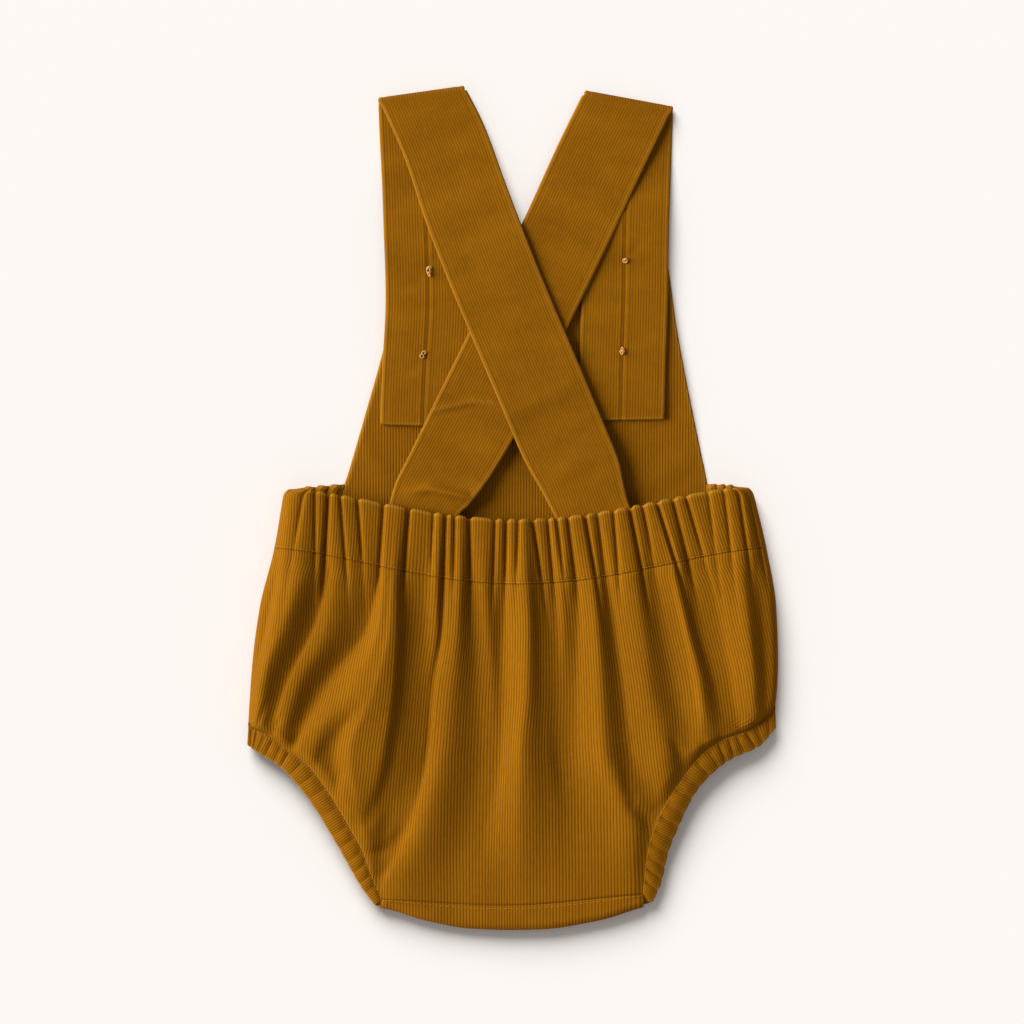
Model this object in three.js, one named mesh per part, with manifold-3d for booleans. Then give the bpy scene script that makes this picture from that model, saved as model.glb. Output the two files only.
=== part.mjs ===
// A baby's summer romper in fine-wale corduroy, lying back up on a flat surface.
//
// Gathered bloomers with an elastic waist and elastic legs carry a flat bib in front and two
// wide straps. Each strap is buttoned inside the bib, runs up to the shoulder, folds over and
// comes down across the back into the waist. The bib and the front of the bloomers lie on the
// surface, and the back of the bloomers lies over them in soft folds.
//
// Millimetres. X runs across, Y runs from the legs up to the shoulders, Z rises from the
// surface that the romper lies on. The origin is on that surface, under the middle.

import * as THREE from 'three';
import { mergeVertices } from 'three/addons/utils/BufferGeometryUtils.js';
import Module from 'manifold-3d';

// ---------------------------------------------------------------- driving dimensions

const PLY = 1.4; // one layer of the corduroy
const CASING_WALL = 2.2; // cloth folded over its elastic
const BIB_WALL = 1.6;
const STRAP_WALL = 1.8; // a pressed tube of cloth
const SEAM = 0.3; // gap left at every seam

const BUTTON_HEIGHT = 2.4;
const SHOULDER_ROLL = 1.6; // radius of the strap's fold at the shoulder

const FRONT_TOP_Y = 12; // top of the front's short casings, beside the bib
const FRONT_SEAM_Y = -22; // where the front of the bloomers is sewn to the bib
const BIB_TOP_Y = 136.8;
const FRONT_CUT = 4; // how much higher the front's legs are cut
const FRONT_GATHER = 1.6;
const FRONT_DIP = 2; // how far the front's waist seam dips in the middle
const LEG_SEAM = 0.45; // gap along the slanting leg seams
const LEG_PUFF = { back: 1.6, front: 0.3 }; // how high its gathers stand
const LEG_TILT = 0.9; // how far it has turned over at its outer edge, in radians
const BUTTONHOLE = { width: 2.8, length: 14 };
const HOLE_STEP = 1.5; // from a button's middle to its holes, across and up
const BUTTON_HOLE = 1.0; // radius

const CORD = { color: 0x9a6209, roughness: 0.92, metalness: 0 };
const HORN = { color: 0xa8773a, roughness: 0.45, metalness: 0 };
const THREAD = { color: 0xc8965a, roughness: 0.8, metalness: 0 };

// ---------------------------------------------------------------- tables

// The bloomers' outline from the waist edge down to the crotch. Each row gives both ends of one
// line across: left and right x and y, how far its middle dips, how high its ends lie, how far
// in the back rounds over, and how much of a quarter turn its ends make (1 at the side seams).
const WAIST_EDGE = 0;
const WAIST_SEAM = 1;
const LEG_TOP = 4;
const CROTCH = 12;
const OUTLINE = [
  { lx: -114.0, ly: 9.8, rx: 119.6, ry: 10.8, dip: 16.0, rim: 5.0, round: 8, turn: 1.0 },
  { lx: -119.0, ly: -20.2, rx: 126.9, ry: -20.2, dip: 18.0, rim: 5.0, round: 9, turn: 1.0 },
  { lx: -126.3, ly: -50.0, rx: 131.8, ry: -50.0, dip: 15.0, rim: 5.0, round: 10, turn: 1.0 },
  { lx: -130.0, ly: -78.0, rx: 132.7, ry: -76.0, dip: 12.0, rim: 5.0, round: 10, turn: 1.0 },
  { lx: -131.9, ly: -107.3, rx: 131.2, ry: -99.0, dip: 9.0, rim: 5.0, round: 9, turn: 0.9 },
  { lx: -122.8, ly: -113.3, rx: 117.3, ry: -111.3, dip: 8.0, rim: 6.6, round: 7, turn: 0.5 },
  { lx: -113.5, ly: -119.8, rx: 106.8, ry: -114.8, dip: 7.5, rim: 8.0, round: 6, turn: 0.3 },
  { lx: -101.5, ly: -129.3, rx: 95.3, ry: -121.8, dip: 7.0, rim: 8.8, round: 6, turn: 0.3 },
  { lx: -92.3, ly: -141.3, rx: 82.8, ry: -137.5, dip: 6.5, rim: 9.0, round: 6, turn: 0.3 },
  { lx: -82.3, ly: -157.8, rx: 73.2, ry: -153.0, dip: 6.0, rim: 9.0, round: 6, turn: 0.3 },
  { lx: -74.8, ly: -171.8, rx: 68.0, ry: -168.0, dip: 5.5, rim: 8.4, round: 6, turn: 0.3 },
  { lx: -70.3, ly: -184.3, rx: 66.0, ry: -181.0, dip: 5.0, rim: 7.2, round: 6, turn: 0.3 },
  { lx: -65.3, ly: -195.8, rx: 65.0, ry: -193.2, dip: 4.0, rim: 6.2, round: 6, turn: 0.3 },
];

// The outer edge of each leg casing, a row for each row of the outline from LEG_TOP to CROTCH.
const LEG_EDGE = [
  { lx: -132.4, ly: -118.0, rx: 131.5, ry: -109.5, back: 6.4, front: 3.6 },
  { lx: -126.8, ly: -121.8, rx: 122.5, ry: -118.9, back: 7.0, front: 2.2 },
  { lx: -117.3, ly: -127.6, rx: 110.0, ry: -124.4, back: 7.8, front: 1.1 },
  { lx: -108.8, ly: -135.6, rx: 101.5, ry: -130.2, back: 8.4, front: 1.1 },
  { lx: -100.2, ly: -146.4, rx: 91.0, ry: -141.5, back: 8.6, front: 1.1 },
  { lx: -90.0, ly: -162.8, rx: 82.7, ry: -158.0, back: 8.4, front: 1.1 },
  { lx: -81.7, ly: -177.4, rx: 77.0, ry: -172.4, back: 7.8, front: 1.1 },
  { lx: -75.4, ly: -188.5, rx: 73.9, ry: -186.4, back: 7.0, front: 1.1 },
  { lx: -68.2, ly: -198.4, rx: 69.4, ry: -196.8, back: 6.2, front: 1.1 },
];

// The folds of the back, from left to right, as they fall from the waist seam. Each has its
// crest and the trough to its right, as x at five heights of y, how far the crest rises and
// the trough falls, and how strong it is at those heights.
const FOLD_Y = [-30, -70, -115, -155, -195];
const FOLDS = [
  {
    crest: [-106, -118, -128, -128, -124], trough: [-93, -107, -122, -121, -117],
    rise: 3.2, fall: 3.6, hold: [0.9, 1, 0.7, 0, 0],
  },
  {
    crest: [-87, -97, -115, -113, -108], trough: [-77, -84, -108, -106, -101],
    rise: 2.2, fall: 2.0, hold: [0.8, 1, 0.8, 0, 0],
  },
  {
    crest: [-72, -80, -98, -98, -92], trough: [-69, -76, -90, -90, -84],
    rise: 2.0, fall: 0.6, hold: [0.3, 0.5, 1, 0.4, 0],
  },
  {
    crest: [-61, -67, -77, -76, -72], trough: [-52, -48, -54, -60, -62],
    rise: 4.2, fall: 4.6, hold: [0.8, 1, 0.9, 0.6, 0.2],
  },
  {
    crest: [-26, -30, -33, -39, -51], trough: [-20, -18, -15, -18, -28],
    rise: 3.2, fall: 2.8, hold: [0.7, 1, 1, 0.8, 0.4],
  },
  {
    crest: [-11, -12, -9, -9, -15], trough: [-3, -5, -4, -4, -8],
    rise: 1.6, fall: 1.4, hold: [1, 0.9, 0.1, 0, 0],
  },
  {
    crest: [7, 5, 5, 4, -6], trough: [18, 22, 24, 24, 24],
    rise: 3.4, fall: 3.2, hold: [0.8, 1, 1, 0.8, 0.4],
  },
  {
    crest: [37, 41, 42, 51, 46], trough: [44, 52, 57, 65, 60],
    rise: 3.4, fall: 3.4, hold: [0.9, 1, 0.9, 0.6, 0.3],
  },
  {
    crest: [61, 63, 70, 78, 74], trough: [69, 77, 84, 88, 84],
    rise: 2.8, fall: 3.0, hold: [0.9, 1, 0.9, 0.3, 0],
  },
  {
    crest: [79, 88, 93, 98, 94], trough: [88, 99, 102, 106, 102],
    rise: 3.0, fall: 3.0, hold: [0.9, 1, 0.9, 0, 0],
  },
  {
    crest: [111, 115, 114, 115, 112], trough: [126, 127, 120, 124, 120],
    rise: 3.4, fall: 2.6, hold: [0.9, 1, 0.7, 0, 0],
  },
];

// The bottom edge of the crotch at x: level in the middle and curving up to both legs.
const CROTCH_EDGE = through(
  [-66, -61.8, -44.3, -21, 0, 14, 44.3, 63.3, 66],
  [-200.2, -201.0, -206.3, -210.6, -211.3, -211.0, -206.3, -200.4, -199.6],
);

// The gathers that the waist elastic pulls up: the crest of each, across the waist edge and
// across the waist seam, and its height.
const GATHERS = [
  { edge: -114, seam: -118, rise: 0.8 },
  { edge: -106, seam: -108, rise: 1.7 },
  { edge: -97, seam: -97, rise: 1.5 },
  { edge: -88, seam: -87, rise: 1.4 },
  { edge: -75, seam: -77, rise: 1.2 },
  { edge: -61, seam: -62, rise: 2.1 },
  { edge: -46, seam: -44, rise: 1.2 },
  { edge: -31, seam: -27, rise: 1.7 },
  { edge: -16, seam: -13, rise: 1.4 },
  { edge: -5, seam: -1, rise: 1.5 },
  { edge: 8, seam: 9, rise: 1.3 },
  { edge: 20, seam: 23, rise: 1.7 },
  { edge: 31, seam: 37, rise: 1.9 },
  { edge: 45, seam: 50, rise: 1.4 },
  { edge: 56, seam: 62, rise: 1.6 },
  { edge: 66, seam: 71, rise: 1.3 },
  { edge: 75, seam: 81, rise: 1.6 },
  { edge: 86, seam: 92, rise: 1.4 },
  { edge: 98, seam: 103, rise: 1.7 },
  { edge: 109, seam: 114, rise: 1.5 },
  { edge: 121, seam: 127, rise: 0.8 },
];

// How high the back of the bloomers lies on the whole, and how strong the folds and the gathers
// are, down its length.
const BACK = [
  { y: 12, level: 12.6, folds: 0.15, gathers: 0.9 },
  { y: -10, level: 12.8, folds: 0.2, gathers: 1.0 },
  { y: -28, level: 12.8, folds: 0.5, gathers: 0.9 },
  { y: -48, level: 12.8, folds: 0.9, gathers: 0.4 },
  { y: -70, level: 12.8, folds: 1.0, gathers: 0.0 },
  { y: -130, level: 12.8, folds: 1.0, gathers: 0.0 },
  { y: -165, level: 11.6, folds: 0.8, gathers: 0.0 },
  { y: -198, level: 8.4, folds: 0.3, gathers: 0.0 },
];

// Pleats in the front of the bloomers, which lies on the surface: each runs from the seam with
// the bib or the waist casing down to its end.
const FRONT_PLEATS = [
  { top: -106, foot: -112, end: -88, half: 9, rise: 1.5 },
  { top: -74, foot: -84, end: -118, half: 10, rise: 1.6 },
  { top: -50, foot: -56, end: -96, half: 9, rise: 1.2 },
  { top: 34, foot: 42, end: -104, half: 9, rise: 1.3 },
  { top: 62, foot: 74, end: -112, half: 10, rise: 1.6 },
  { top: 104, foot: 110, end: -82, half: 9, rise: 1.5 },
];

// The bib: where its two sides lie and how high it lies, from the seam up to its top edge. It
// rests on the surface below and on the four buttons above.
const BIB = [
  { y: FRONT_SEAM_Y, left: -88.0, right: 99.6, z: 0.8 },
  { y: 6, left: -86.0, right: 98.4, z: 0.8 },
  { y: 16, left: -82.8, right: 96.9, z: 0.8 },
  { y: 28, left: -79.2, right: 94.4, z: 1.0 },
  { y: 50, left: -72.8, right: 89.8, z: 2.6 },
  { y: 68, left: -67.6, right: 86.2, z: 3.5 },
  { y: 94, left: -61.0, right: 81.6, z: 3.5 },
  { y: 114, left: -57.5, right: 79.0, z: 3.5 },
  { y: BIB_TOP_Y, left: -55.2, right: 75.6, z: 3.5 },
];

// The straps, from the buttoned front end up to the shoulder and on down the back. Each row is
// one line across: its two ends and their heights. `over` marks the row at the shoulder fold.
const LEFT_STRAP = [
  { lx: -66.2, ly: 42.2, rx: -22.8, ry: 41.0, lz: 4.2, rz: 4.2 },
  { lx: -66.0, ly: 50.0, rx: -22.6, ry: 50.0, lz: 4.7, rz: 4.7 },
  { lx: -65.2, ly: 68.0, rx: -21.8, ry: 68.0, lz: 5.5, rz: 5.5 },
  { lx: -63.4, ly: 104.8, rx: -20.0, ry: 104.8, lz: 5.5, rz: 5.5 },
  { lx: -64.4, ly: 139.0, rx: -21.0, ry: 139.0, lz: 5.5, rz: 5.5 },
  { lx: -65.2, ly: 160.0, rx: -21.8, ry: 160.0, lz: 3.2, rz: 3.2 },
  { lx: -66.4, ly: 182.0, rx: -23.0, ry: 184.0, lz: 1.1, rz: 1.1 },
  { lx: -67.4, ly: 205.2, rx: -24.2, ry: 211.3, lz: 0.9, rz: 0.9, over: true },
  { lx: -54.2, ly: 175.2, rx: -14.4, ry: 191.8, lz: 4.9, rz: 4.3 },
  { lx: -43.8, ly: 143.8, rx: -2.8, ry: 160.2, lz: 7.2, rz: 6.8 },
  { lx: -32.4, ly: 113.8, rx: 8.6, ry: 130.2, lz: 8.7, rz: 9.9 },
  { lx: -22.0, ly: 88.8, rx: 18.8, ry: 105.2, lz: 9.9, rz: 9.9 },
  { lx: -6.8, ly: 53.0, rx: 34.0, ry: 69.6, lz: 9.8, rz: 9.3 },
  { lx: 6.2, ly: 22.8, rx: 46.8, ry: 39.2, lz: 8.5, rz: 8.1 },
  { lx: 14.8, ly: 7.4, rx: 53.2, ry: 23.0, lz: 8.4, rz: 8.2 },
  { lx: 22.2, ly: -6.8, rx: 57.0, ry: 5.6, lz: 8.2, rz: 8.2 },
  { lx: 27.6, ly: -17.6, rx: 61.6, ry: -6.8, lz: 8.2, rz: 8.2 },
];
const RIGHT_STRAP = [
  { lx: 32.8, ly: 44.2, rx: 76.0, ry: 44.8, lz: 4.4, rz: 4.4 },
  { lx: 33.0, ly: 50.0, rx: 76.2, ry: 50.0, lz: 4.7, rz: 4.7 },
  { lx: 33.2, ly: 68.0, rx: 76.6, ry: 68.0, lz: 5.5, rz: 5.5 },
  { lx: 34.4, ly: 108.0, rx: 77.8, ry: 108.0, lz: 5.5, rz: 5.5 },
  { lx: 34.8, ly: 139.0, rx: 78.2, ry: 139.0, lz: 5.5, rz: 5.5 },
  { lx: 35.6, ly: 160.0, rx: 79.0, ry: 160.0, lz: 3.2, rz: 3.2 },
  { lx: 36.2, ly: 184.0, rx: 79.8, ry: 181.0, lz: 1.1, rz: 1.1 },
  { lx: 36.2, ly: 209.0, rx: 80.6, ry: 200.8, lz: 0.9, rz: 0.9, over: true },
  { lx: 23.8, ly: 183.8, rx: 63.6, ry: 165.2, lz: 4.3, rz: 4.9 },
  { lx: 5.2, ly: 142.8, rx: 44.4, ry: 124.2, lz: 6.9, rz: 7.6 },
  { lx: -8.2, ly: 115.2, rx: 31.0, ry: 96.6, lz: 6.9, rz: 7.6 },
  { lx: -21.4, ly: 88.2, rx: 17.8, ry: 69.6, lz: 7.6, rz: 7.2 },
  { lx: -40.2, ly: 49.8, rx: -1.2, ry: 31.2, lz: 7.6, rz: 7.1 },
  { lx: -50.6, ly: 28.2, rx: -13.0, ry: 12.4, lz: 7.6, rz: 7.4 },
  { lx: -58.6, ly: 11.8, rx: -21.0, ry: 1.8, lz: 8.2, rz: 8.2 },
  { lx: -61.2, ly: 2.4, rx: -26.6, ry: -4.0, lz: 8.2, rz: 8.2 },
  { lx: -62.6, ly: -7.2, rx: -29.4, ry: -13.2, lz: 8.2, rz: 8.2 },
];

// The four buttons, on the straps' front ends.
const BUTTONS = [
  { name: 'left_upper', x: -41.8, y: 119.0 },
  { name: 'left_lower', x: -44.6, y: 76.4 },
  { name: 'right_upper', x: 56.3, y: 123.2 },
  { name: 'right_lower', x: 54.8, y: 78.2 },
];

// ---------------------------------------------------------------- curves and walls

const lerp = THREE.MathUtils.lerp;
const QUARTER = Math.PI / 2;

// A smooth curve through a column of a table that never swings past its points.
function through(stations, values) {
  const rise = values.slice(1).map((value, i) => (value - values[i]) / (stations[i + 1] - stations[i]));
  const slope = values.map((value, i) => {
    const before = rise[i - 1] ?? rise[i];
    const after = rise[i] ?? rise[i - 1];
    return before * after > 0 ? (2 * before * after) / (before + after) : 0;
  });
  const backwards = stations[0] > stations.at(-1);
  return (at) => {
    let i = 0;
    while (i < stations.length - 2 && (backwards ? at < stations[i + 1] : at > stations[i + 1])) i += 1;
    const span = stations[i + 1] - stations[i];
    const t = THREE.MathUtils.clamp((at - stations[i]) / span, 0, 1);
    const [t2, t3] = [t * t, t * t * t];
    return (
      (2 * t3 - 3 * t2 + 1) * values[i] +
      (t3 - 2 * t2 + t) * span * slope[i] +
      (3 * t2 - 2 * t3) * values[i + 1] +
      (t3 - t2) * span * slope[i + 1]
    );
  };
}

// The same for every column of a table: a function that gives a whole row at any station.
function rowsThrough(table, stations) {
  const names = Object.keys(table[0]).filter((name) => typeof table[0][name] === 'number');
  const curves = names.map((name) => [name, through(stations, table.map((row) => row[name]))]);
  return (at) => Object.fromEntries(curves.map(([name, curve]) => [name, curve(at)]));
}

const numbered = (table) => table.map((row, i) => i);
function steps(from, to, count) {
  return Array.from({ length: count + 1 }, (unused, i) => lerp(from, to, i / count));
}

// Cloth as one closed wall: rows of points { p, out }, with half of the wall on each side of p
// along out.
function clothWall(rows, thickness) {
  const height = rows.length;
  const width = rows[0].length;
  const positions = [];
  for (const side of [0.5, -0.5]) {
    for (const { p, out } of rows.flat()) {
      positions.push(...p.clone().addScaledVector(out, side * thickness).toArray());
    }
  }
  const at = (side, i, j) => (side * height + i) * width + j;
  const index = [];
  const quad = (a, b, c, d) => index.push(a, b, c, a, c, d);
  for (let i = 0; i < height - 1; i += 1) {
    for (let j = 0; j < width - 1; j += 1) {
      quad(at(0, i, j), at(0, i + 1, j), at(0, i + 1, j + 1), at(0, i, j + 1));
      quad(at(1, i, j), at(1, i, j + 1), at(1, i + 1, j + 1), at(1, i + 1, j));
    }
  }
  for (let i = 0; i < height - 1; i += 1) {
    quad(at(0, i, 0), at(1, i, 0), at(1, i + 1, 0), at(0, i + 1, 0));
    quad(at(0, i + 1, width - 1), at(1, i + 1, width - 1), at(1, i, width - 1), at(0, i, width - 1));
  }
  for (let j = 0; j < width - 1; j += 1) {
    quad(at(0, 0, j + 1), at(1, 0, j + 1), at(1, 0, j), at(0, 0, j));
    quad(at(0, height - 1, j), at(1, height - 1, j), at(1, height - 1, j + 1), at(0, height - 1, j + 1));
  }
  const geometry = new THREE.BufferGeometry();
  geometry.setAttribute('position', new THREE.Float32BufferAttribute(positions, 3));
  geometry.setIndex(volume(positions, index) < 0 ? index.reverse() : index);
  return geometry;
}

// The volume inside a closed mesh, below zero where its faces point in.
function volume(positions, index) {
  const corner = (i) => new THREE.Vector3().fromArray(positions, 3 * index[i]);
  let sum = 0;
  for (let i = 0; i < index.length; i += 3) sum += corner(i).dot(corner(i + 1).cross(corner(i + 2)));
  return sum / 6;
}

const romper = new THREE.Group();

function addMesh(name, geometry, finish) {
  geometry.computeVertexNormals();
  const mesh = new THREE.Mesh(geometry, new THREE.MeshStandardMaterial(finish));
  mesh.name = name;
  romper.add(mesh);
}

// ---------------------------------------------------------------- the bloomers' two skins

const outlineAt = rowsThrough(OUTLINE, numbered(OUTLINE));
const legEdgeAt = rowsThrough(LEG_EDGE, numbered(LEG_EDGE));
const backAt = rowsThrough(BACK, BACK.map((row) => row.y));
const bibAt = rowsThrough(BIB, BIB.map((row) => row.y));

// y along one line across the bloomers, which dips towards its middle.
function lineY(line, x, dip) {
  const t = THREE.MathUtils.clamp((x - line.lx) / (line.rx - line.lx), 0, 1);
  return lerp(line.ly, line.ry, t) - dip * Math.sin(Math.PI * t) ** 1.5;
}

// The crests and troughs in order across the back at one y: [x, height].
const foldLines = FOLDS.flatMap((fold) => [
  { x: through(FOLD_Y, fold.crest), z: through(FOLD_Y, fold.hold.map((hold) => hold * fold.rise)) },
  { x: through(FOLD_Y, fold.trough), z: through(FOLD_Y, fold.hold.map((hold) => -hold * fold.fall)) },
]);

// The height between two neighbouring crests and troughs follows half a wave.
function foldHeight(x, y) {
  const lines = foldLines.map((line) => [line.x(y), line.z(y)]);
  const next = lines.findIndex(([lineX]) => lineX > x);
  if (next === 0) return lines[0][1];
  if (next < 0) return lines.at(-1)[1];
  const [[x0, z0], [x1, z1]] = [lines[next - 1], lines[next]];
  return lerp(z0, z1, (1 - Math.cos((Math.PI * (x - x0)) / (x1 - x0))) / 2);
}

// A gather is one whole wave from crest to crest.
const CASING_DEPTH = OUTLINE[WAIST_EDGE].ly - OUTLINE[WAIST_SEAM].ly;
function gatherHeight(x, y) {
  const up = THREE.MathUtils.clamp((y - OUTLINE[WAIST_SEAM].ly) / CASING_DEPTH, 0, 1);
  const crest = GATHERS.map(({ edge, seam }) => lerp(seam, edge, up));
  const next = crest.findIndex((crestX) => crestX > x);
  if (next <= 0) return 0;
  const t = (x - crest[next - 1]) / (crest[next] - crest[next - 1]);
  return lerp(GATHERS[next - 1].rise, GATHERS[next].rise, t) * Math.cos(2 * Math.PI * t);
}

function backHeight(x, y) {
  const { level, folds, gathers } = backAt(y);
  return level + folds * foldHeight(x, y) + gathers * gatherHeight(x, y);
}

// A pleat is a soft ridge that fades out towards its foot.
function frontHeight(x, y) {
  let z = PLY / 2;
  for (const pleat of FRONT_PLEATS) {
    const down = THREE.MathUtils.clamp((y - FRONT_SEAM_Y) / (pleat.end - FRONT_SEAM_Y), 0, 1);
    const off = Math.abs(x - lerp(pleat.top, pleat.foot, down)) / pleat.half;
    if (off < 1) z += ((pleat.rise * (1 + Math.cos(Math.PI * off))) / 2) * Math.cos(QUARTER * down) ** 2;
  }
  return z;
}

// One line across a skin of the bloomers. Its ends turn towards the side seams: down from the
// back, up from the front. `side` is 1 for the back and -1 for the front.
const TURN_STEPS = 3;
function acrossSkin({ line, rim, dip, height, side, thickness, columns, from = 0, to = 1 }) {
  const start = (1 - line.turn) * QUARTER;
  const hidden = (thickness / 2) * Math.cos(start);
  const middle = [line.lx + line.round, line.rx - line.round];
  const points = [];
  const turned = (end, inner, i) => {
    const angle = lerp(start, QUARTER, i / TURN_STEPS);
    const reach = Math.sign(inner - end) * (line.round - hidden);
    const outer = end + Math.sign(inner - end) * hidden;
    const x = outer + (reach * (Math.cos(start) - Math.cos(angle))) / Math.cos(start);
    const y = lineY(line, x, dip);
    const top = height(inner, lineY(line, inner, dip));
    const z = lerp(rim, top, (Math.sin(angle) - Math.sin(start)) / (1 - Math.sin(start)));
    const out = new THREE.Vector3(-Math.sign(inner - end) * Math.cos(angle), 0, side * Math.sin(angle));
    points.push({ p: new THREE.Vector3(x, y, z), out });
  };
  if (from === 0) for (let i = 0; i < TURN_STEPS; i += 1) turned(line.lx, middle[0], i);
  for (const t of steps(from, to, columns)) {
    const x = lerp(middle[0], middle[1], t);
    const y = lineY(line, x, dip);
    points.push({ p: new THREE.Vector3(x, y, height(x, y)), out: new THREE.Vector3(0, 0, side) });
  }
  if (to === 1) for (let i = TURN_STEPS - 1; i >= 0; i -= 1) turned(line.rx, middle[1], i);
  return points;
}

// The back: its gathered waist casing, and the panel below the waist seam.
function backRow(k, thickness, columns) {
  const line = outlineAt(k);
  const rim = line.rim + SEAM / 2;
  return acrossSkin({ line, rim, dip: line.dip, height: backHeight, side: 1, thickness, columns });
}

const SEAM_STEP = SEAM / CASING_DEPTH;
const CASING_ROWS = steps(WAIST_EDGE, WAIST_SEAM - SEAM_STEP / 2, 3);
const PANEL_ROWS = [
  ...steps(WAIST_SEAM + SEAM_STEP / 2, LEG_TOP, 5).slice(0, -1),
  ...steps(LEG_TOP, CROTCH, 8),
];

addMesh('back_casing', clothWall(CASING_ROWS.map((k) => backRow(k, CASING_WALL, 60)), CASING_WALL), CORD);
addMesh('back_panel', clothWall(PANEL_ROWS.map((k) => backRow(k, PLY, 40)), PLY), CORD);

// The front: its ends follow the back's down the side seams, and its legs are cut a little
// higher, so that they stay out of sight.
function frontLine(k) {
  const line = outlineAt(k);
  const leg = THREE.MathUtils.clamp((k - LEG_TOP) / (CROTCH - LEG_TOP), 0, 1);
  const higher = FRONT_CUT * Math.sin(Math.PI * leg);
  const flat = THREE.MathUtils.smoothstep(k, LEG_TOP, LEG_TOP + 2);
  const below = THREE.MathUtils.clamp((k - WAIST_SEAM) / (CROTCH - WAIST_SEAM), 0, 1);
  return {
    ...line,
    lx: line.lx + higher,
    rx: line.rx - higher,
    dip: lerp(FRONT_DIP, line.dip, below),
    turn: lerp(line.turn, 0.2, flat),
    rim: lerp(line.rim - SEAM / 2, PLY / 2, flat),
  };
}

function frontRow(k, columns) {
  const line = frontLine(k);
  const { rim, dip } = line;
  return acrossSkin({ line, rim, dip, height: frontHeight, side: -1, thickness: PLY, columns });
}
addMesh('front_panel', clothWall(PANEL_ROWS.map((k) => frontRow(k, 24)), PLY), CORD);

// The seam that carries the bib and the short casings beside it, at x.
const frontSeamY = (x) => lineY(outlineAt(WAIST_SEAM), x, FRONT_DIP) + SEAM / 2;

// Beside the bib, the front has its own short lengths of waist casing.
const FRONT_CASING_Y = steps(FRONT_TOP_Y, FRONT_SEAM_Y, 2);
function frontCasing(side) {
  const rows = FRONT_CASING_Y.map((innerY, i) => {
    const down = i / (FRONT_CASING_Y.length - 1);
    const line = outlineAt(lerp(WAIST_EDGE, WAIST_SEAM, down));
    const end = side < 0 ? line.lx : line.rx;
    const inner = (side < 0 ? bibAt(innerY).left : bibAt(innerY).right) + side * SEAM;
    const top = outlineAt(WAIST_EDGE);
    const topY = (x) => lerp(side < 0 ? top.ly : top.ry, FRONT_TOP_Y, (x - end) / (inner - end));
    const rowY = (x) => lerp(topY(x), frontSeamY(x), down);
    const points = [];
    for (const angle of steps(0, QUARTER, TURN_STEPS)) {
      const x = end - side * (CASING_WALL / 2 + (line.round - CASING_WALL / 2) * (1 - Math.cos(angle)));
      const z = lerp(line.rim - SEAM / 2, CASING_WALL / 2, Math.sin(angle));
      const out = new THREE.Vector3(side * Math.cos(angle), 0, -Math.sin(angle));
      points.push({ p: new THREE.Vector3(x, rowY(x), z), out });
    }
    for (const t of steps(0, 1, 8).slice(1)) {
      const x = lerp(end - side * line.round, inner, t);
      const z = CASING_WALL / 2 + (FRONT_GATHER * (1 - Math.cos(4 * Math.PI * t))) / 2;
      points.push({ p: new THREE.Vector3(x, rowY(x), z), out: new THREE.Vector3(0, 0, -1) });
    }
    return points;
  });
  return clothWall(rows, CASING_WALL);
}
addMesh('front_casing_left', frontCasing(-1), CORD);
addMesh('front_casing_right', frontCasing(1), CORD);

// ---------------------------------------------------------------- leg casings and crotch

// The elastic casing along one leg edge: it puffs up from its seam, with small gathers.
const LEG_STEPS = 24;
function legCasing(side, skin) {
  const isBack = skin === 'back';
  const lineAt = isBack ? outlineAt : frontLine;
  const rows = steps(0, CROTCH - LEG_TOP, LEG_STEPS).map((k, i) => {
    const [above, below] = [Math.floor(k), Math.ceil(k)].map((whole) => lineAt(LEG_TOP + whole));
    const between = (name) => lerp(above[name], below[name], k % 1);
    const edge = legEdgeAt(k);
    const bow = Math.sin((Math.PI * k) / (CROTCH - LEG_TOP));
    const higher = isBack ? 0 : FRONT_CUT * bow;
    const [x, y] = side < 0 ? ['lx', 'ly'] : ['rx', 'ry'];
    const inner = new THREE.Vector2(between(x), between(y));
    const outer = new THREE.Vector2(edge[x] - side * higher, edge[y]);
    const along = outer.clone().sub(inner).normalize();
    inner.addScaledVector(along, LEG_SEAM);
    outer.addScaledVector(along, -CASING_WALL / 4);
    const rise = CASING_WALL / 2 + SEAM / 2;
    const innerZ = isBack ? between('rim') + rise : Math.max(between('rim') - rise, CASING_WALL / 2);
    const outerZ = isBack ? edge.back : edge.front;
    const puff = LEG_PUFF[skin] * Math.sqrt(Math.max(bow, 0)) * (i % 2 === 0 ? 1 : 0.3);
    return [0, 0.5, 1].map((t) => {
      const tilt = t * LEG_TILT;
      const place = inner.clone().lerp(outer, t);
      const z = lerp(innerZ, outerZ, t) + puff * Math.sin(Math.PI * t);
      const out = new THREE.Vector3(along.x * Math.sin(tilt), along.y * Math.sin(tilt), Math.cos(tilt));
      return { p: new THREE.Vector3(place.x, place.y, z), out };
    });
  });
  return clothWall(rows, CASING_WALL);
}
for (const skin of ['back', 'front']) {
  addMesh(`leg_casing_left_${skin}`, legCasing(-1, skin), CORD);
  addMesh(`leg_casing_right_${skin}`, legCasing(1, skin), CORD);
}

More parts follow.
